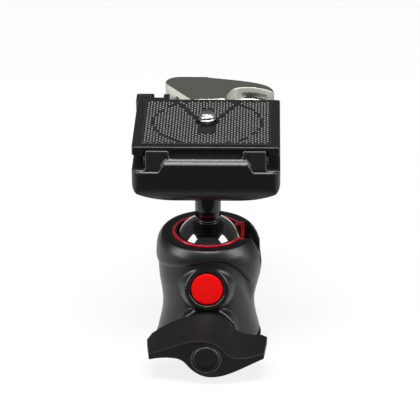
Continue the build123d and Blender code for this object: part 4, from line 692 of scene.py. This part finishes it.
# Painted light: the faces that slope more than the first, face the front more than the second and lie higher
# than the third are painted paler, where the front lamps would brighten them.
PAINTED_LIGHT_SLOPE = 0.86
PAINTED_LIGHT_FACING = -0.25
PAINTED_LIGHT_LOW_Z = 81.7
notch_low = LEVER_TOP_Z - NOTCH_DEPTH
lever = blank_copy("release_lever", "lever_casting")
for name, outline, low, high in (
    ("notch", NOTCH_EDGE, notch_low, LEVER_TOP_Z + CUT_OVER),
    ("pocket", POCKET_EDGE, notch_low + POCKET_SILL, POCKET_TOP_Z),
    ("front_step", FRONT_STEP, FRONT_STEP_Z, LEVER_TOP_Z + CUT_OVER),
):
    cut_away(lever, prism(name, rounded(outline, EDGE_ROUNDS), low, high))
bpy.ops.object.mode_set(mode="EDIT")
bpy.ops.mesh.select_all(action="SELECT")
bpy.ops.mesh.bisect(
    plane_co=FACET_PLACE * MM, plane_no=FACET_NORMAL, use_fill=True, clear_outer=True, clear_inner=False,
)
bpy.ops.object.mode_set(mode="OBJECT")
cast_skin(lever, voxel_mm=0.2, soften=8)
# Satin gunmetal paint: a greenish grey with a metallic sheen. The front-facing slopes are painted paler, as
# painted light.
gunmetal = surface(
    "satin_gunmetal_paint", {"Metallic": 0.8}, grain_mm=0.15,
    colours=("#5a5d56", "#656860"), roughness=(0.34, 0.42), bump_mm=0.003,
)
painted_light_gunmetal = surface(
    "gunmetal_painted_light", {"Metallic": 0.5}, grain_mm=0.15,
    colours=("#9da096", "#adb0a6"), roughness=(0.4, 0.5), bump_mm=0.003,
)
lever.data.materials.append(gunmetal)
lever.data.materials.append(painted_light_gunmetal)
# Painted light: faces turned up and to the front take the paler paint.
for face in lever.data.polygons:
    to_front = face.normal.z < PAINTED_LIGHT_SLOPE and face.normal.y < PAINTED_LIGHT_FACING
    if to_front and face.center.z > PAINTED_LIGHT_LOW_Z * MM:
        face.material_index = 1
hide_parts("release_lever")
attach(lever, "lever")
dress(zinc_steel, "lever_pivot_pin")
dress(spring_steel, "pivot_clip", "lever_spring")


# Safety catch: a small slide moulded in glossy black plastic, with three grip ribs. Its dovetail key runs in
# a slot of the receiver's left ear.
catch = blank_copy("safety_catch", "catch_moulding")
cast_skin(catch, voxel_mm=0.14, soften=2)
# Polished black plastic: near black, with small bright reflections on its edges.
catch_plastic = surface(
    "polished_black_plastic", {}, grain_mm=0.8,
    colours=("#040405", "#070708"), roughness=(0.12, 0.2), bump_mm=0.002,
)
catch.data.materials.append(catch_plastic)
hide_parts("safety_catch")
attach(catch, "catch")


# Quick-release plate: cast aluminium in satin black. Its bevelled edges are held by the jaws in front and
# the lever behind.
plate = blank_copy("quick_release_plate", "plate_casting")
cast_skin(plate, voxel_mm=0.3, soften=2)
# Satin black paint on cast aluminium: dark, with a soft bright line along each edge.
plate_black = surface(
    "satin_black_cast_aluminium", {"Specular IOR Level": 0.4}, grain_mm=0.3,
    colours=("#070708", "#0d0d0e"), roughness=(0.24, 0.34), bump_mm=0.004,
)
plate.data.materials.append(plate_black)
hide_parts("quick_release_plate")
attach(plate, "plate")


# Pad: a thin rubber facing glued in the plate, moulded with fine dots. A round groove, two slanting bars and
# a patch before and behind the screw are left smooth.
PAD_WIDTH = 46.0
PAD_DEPTH = 38.0
PAD_LOW_Z = 87.3
PAD_TOP_Z = 88.6
PAD_EDGE = 0.3
# Painted highlight on the pad's top edge: faces sloping between these heights of normal, near the skin and
# away from the screw.
HIGHLIGHT_EDGE_RISE = (0.2, 0.95)
HIGHLIGHT_EDGE_BAND = 0.4
HIGHLIGHT_EDGE_FROM_R = 12
PAD_HOLE_R = 5.1
PAD_LIP_R = 3.6
PAD_LIP_Z = 88.13
PUNCH_DEPTH = 4
DOT_PITCH = 1.06
DOT_ROW_PITCH = 1.9
DOT_HEIGHT = 0.35
DOT_HALF = 0.34
DOT_CORNER_RATIO = 1.41
DOT_TIP_RATIO = 0.45
DOT_LENGTH_RATIO = 1.5
DOT_MARGIN_X = 1.2
DOT_MARGIN_Y = 1.4
PAD_SKIN_Z = PAD_TOP_Z - DOT_HEIGHT
LIP_MARGIN = 0.5
GROOVE_R = 19.5
GROOVE_HALF = 0.45
BAR_START_X = 2.2
BAR_SLANT = 0.52
BAR_HALF = 1.0
FRONT_PATCH_HALF = 2.8
FRONT_PATCH_Y = -10.5
BACK_PATCH_HALF = 1.6
BACK_PATCH_Y = 12
bpy.ops.object.select_all(action="DESELECT")
bpy.ops.mesh.primitive_cube_add(size=1, location=(0, 0, (PAD_LOW_Z + PAD_SKIN_Z) / 2 * MM))
pad = bpy.context.active_object
pad.name = "pad_facing"
pad.scale = (PAD_WIDTH * MM, PAD_DEPTH * MM, (PAD_SKIN_Z - PAD_LOW_Z) * MM)
bpy.ops.object.transform_apply(location=True, rotation=True, scale=True)
for radius, top in ((PAD_HOLE_R, PAD_LIP_Z), (PAD_LIP_R, PAD_TOP_Z)):
    bpy.ops.mesh.primitive_cylinder_add(
        vertices=64, radius=radius * MM, depth=PUNCH_DEPTH * MM,
        location=(0, 0, (top - PUNCH_DEPTH / 2) * MM),
    )
    cut_away(pad, bpy.context.active_object)
edge = pad.modifiers.new("edge", "BEVEL")
edge.width = PAD_EDGE * MM
edge.segments = 2
edge.limit_method = "ANGLE"
pick(pad)
bpy.ops.object.modifier_apply(modifier=edge.name)
bpy.ops.object.shade_smooth_by_angle(angle=math.radians(40))

# One dot, a small pyramid with a flat tip, is repeated: twice for the stagger, then along, then across.
pairs = int((PAD_WIDTH - DOT_MARGIN_X + DOT_PITCH) / DOT_PITCH / 2)
rows = int((PAD_DEPTH - DOT_MARGIN_Y - DOT_ROW_PITCH / 2) / DOT_ROW_PITCH) + 1
first_x = -(2 * pairs - 1) / 2 * DOT_PITCH
first_y = -(rows - 0.5) / 2 * DOT_ROW_PITCH
bpy.ops.object.select_all(action="DESELECT")
bpy.ops.mesh.primitive_cone_add(
    vertices=4, radius1=DOT_HALF * DOT_CORNER_RATIO * MM, radius2=DOT_HALF * DOT_TIP_RATIO * MM,
    depth=DOT_HEIGHT * MM,
    rotation=(0, 0, math.radians(45)),
    location=(first_x * MM, first_y * MM, (PAD_SKIN_Z + DOT_HEIGHT / 2) * MM),
)
dots = bpy.context.active_object
dots.name = "pad_dots"
bpy.ops.object.transform_apply(location=False, rotation=True, scale=True)
dots.scale = (1, DOT_LENGTH_RATIO, 1)
bpy.ops.object.transform_apply(location=True, rotation=True, scale=True)
for count, offset in (
    (2, (DOT_PITCH * MM, DOT_ROW_PITCH / 2 * MM, 0)),
    (pairs, (2 * DOT_PITCH * MM, 0, 0)),
    (rows, (0, DOT_ROW_PITCH * MM, 0)),
):
    rank = dots.modifiers.new("rank", "ARRAY")
    rank.count = count
    rank.use_relative_offset = False
    rank.use_constant_offset = True
    rank.constant_offset_displace = offset
    bpy.ops.object.modifier_apply(modifier=rank.name)


def smooth_place(x, y):
    """True where the pad has no dots: hole, round groove, the two bars and the patches by the screw."""
    distance = math.hypot(x, y)
    if distance < PAD_LIP_R + LIP_MARGIN or abs(distance - GROOVE_R) < GROOVE_HALF:
        return True
    if y > 0 and abs(abs(x) - BAR_START_X - y * BAR_SLANT) < BAR_HALF:
        return True
    if abs(x) < FRONT_PATCH_HALF and FRONT_PATCH_Y < y < 0:
        return True
    return abs(x) < BACK_PATCH_HALF and 0 < y < BACK_PATCH_Y


dot_mesh = bmesh.new()
dot_mesh.from_mesh(dots.data)
doomed = []
for vertex in dot_mesh.verts:
    column = round((vertex.co.x / MM - first_x) / DOT_PITCH)
    stagger = column % 2 / 2
    row = round((vertex.co.y / MM - first_y) / DOT_ROW_PITCH - stagger)
    if smooth_place(first_x + column * DOT_PITCH, first_y + (row + stagger) * DOT_ROW_PITCH):
        doomed.append(vertex)
bmesh.ops.delete(dot_mesh, geom=doomed, context="VERTS")
dot_mesh.to_mesh(dots.data)
dot_mesh.free()
# Moulded black rubber: dark and dull. The dots are a little smoother and painted a touch lighter, a painted
# highlight on their tips; the sloped faces of the top edge are painted paler, a painted highlight.
rubber = surface(
    "moulded_black_rubber", {"Specular IOR Level": 0.2}, grain_mm=0.25,
    colours=("#0c0c0d", "#141415"), roughness=(0.5, 0.62), bump_mm=0.006,
)
dot_painted_highlight_rubber = surface(
    "worn_rubber_tips", {}, grain_mm=0.5,
    colours=("#0f0f10", "#161617"), roughness=(0.42, 0.52), bump_mm=0.004,
)
rubber_painted_highlight = surface(
    "cut_rubber_edge", {}, grain_mm=0.5,
    colours=("#363637", "#444445"), roughness=(0.4, 0.5), bump_mm=0.004,
)
pad.data.materials.append(rubber)
pad.data.materials.append(rubber_painted_highlight)
# Painted highlight: the sloped faces at the pad's top edge take the paler paint.
for face in pad.data.polygons:
    sloped = HIGHLIGHT_EDGE_RISE[0] < face.normal.z < HIGHLIGHT_EDGE_RISE[1]
    by_skin = abs(face.center.z / MM - PAD_SKIN_Z) < HIGHLIGHT_EDGE_BAND
    if sloped and by_skin and math.hypot(*face.center[:2]) > HIGHLIGHT_EDGE_FROM_R * MM:
        face.material_index = 1
# Painted highlight: the dots take a slightly lighter paint.
dots.data.materials.append(dot_painted_highlight_rubber)
for piece in (pad, dots):
    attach(piece, "plate")
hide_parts("plate_pad")


# Camera screw: bright stainless steel with a rolled quarter inch thread, held in the plate by a clip and
# turned by a wire ring.
THREAD_R = 3.175
THREAD_ROOT_R = 2.55
THREAD_PITCH = 1.27
THREAD_TURNS = 3
THREAD_STEPS = 64
THREAD_LOW_Z = 88.1
# One turn's profile: radius, and height within the pitch. It starts and ends a little inside the core.
THREAD_INNER_R = THREAD_ROOT_R - 0.1
THREAD_PROFILE = [
    (THREAD_ROOT_R, 0.06), (THREAD_R - 0.22, 0.32), (THREAD_R - 0.06, 0.5), (THREAD_R, 0.635),
    (THREAD_R - 0.06, 0.77), (THREAD_R - 0.22, 0.95), (THREAD_ROOT_R, 1.21), (THREAD_INNER_R, THREAD_PITCH),
]
# Painted shade darkens the thread's roots below this height and within this depth of them.
SHADED_ROOT_TOP_Z = 91.6
SHADED_ROOT_DEPTH = 0.16
screw = blank_copy("camera_screw", "camera_screw_turned")
for vertex in screw.data.vertices:
    if vertex.co.z > THREAD_LOW_Z * MM:
        shrink = THREAD_ROOT_R / THREAD_R
        vertex.co.x *= shrink
        vertex.co.y *= shrink
thread = bpy.data.objects.new("thread", bpy.data.meshes.new("thread"))
scene.collection.objects.link(thread)
profile = bmesh.new()
low_end = profile.verts.new((THREAD_INNER_R * MM, 0, THREAD_LOW_Z * MM))
for radius, rise in THREAD_PROFILE:
    high_end = profile.verts.new((radius * MM, 0, (THREAD_LOW_Z + rise) * MM))
    profile.edges.new((low_end, high_end))
    low_end = high_end
profile.to_mesh(thread.data)
profile.free()
wind = thread.modifiers.new("wind", "SCREW")
wind.angle = math.radians(360)
wind.screw_offset = THREAD_PITCH * MM
wind.iterations = THREAD_TURNS - 1
wind.steps = THREAD_STEPS
wind.render_steps = THREAD_STEPS
wind.use_merge_vertices = True
wind.merge_threshold = 0.000002
pick(thread)
bpy.ops.object.modifier_apply(modifier=wind.name)
screw.select_set(True)
bpy.context.view_layer.objects.active = screw
bpy.ops.object.join()
bpy.ops.object.shade_smooth_by_angle(angle=math.radians(45))
# Bright stainless steel: a pale metal with broad highlights. The thread's roots low on the screw are painted
# dark, as painted shade.
stainless = surface(
    "bright_stainless_steel", {"Metallic": 1.0}, grain_mm=0.4,
    colours=("#96979a", "#a8a9ab"), roughness=(0.3, 0.38), bump_mm=0.002,
)
painted_shade_root = surface(
    "thread_root_painted_shade", {"Metallic": 0.5}, grain_mm=0.4,
    colours=("#2c2c2e", "#3a3a3c"), roughness=(0.3, 0.42), bump_mm=0.002,
)
screw.data.materials.append(stainless)
screw.data.materials.append(painted_shade_root)
# Painted shade: faces in the lower thread's roots take the dark paint.
for face in screw.data.polygons:
    from_axis = math.hypot(face.center.x, face.center.y) / MM
    if THREAD_LOW_Z < face.center.z / MM < SHADED_ROOT_TOP_Z and from_axis < THREAD_ROOT_R + SHADED_ROOT_DEPTH:
        face.material_index = 1
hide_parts("camera_screw")
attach(screw, "screw")
dress(stainless, "screw_retaining_ring", "screw_d_ring")


low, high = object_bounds()
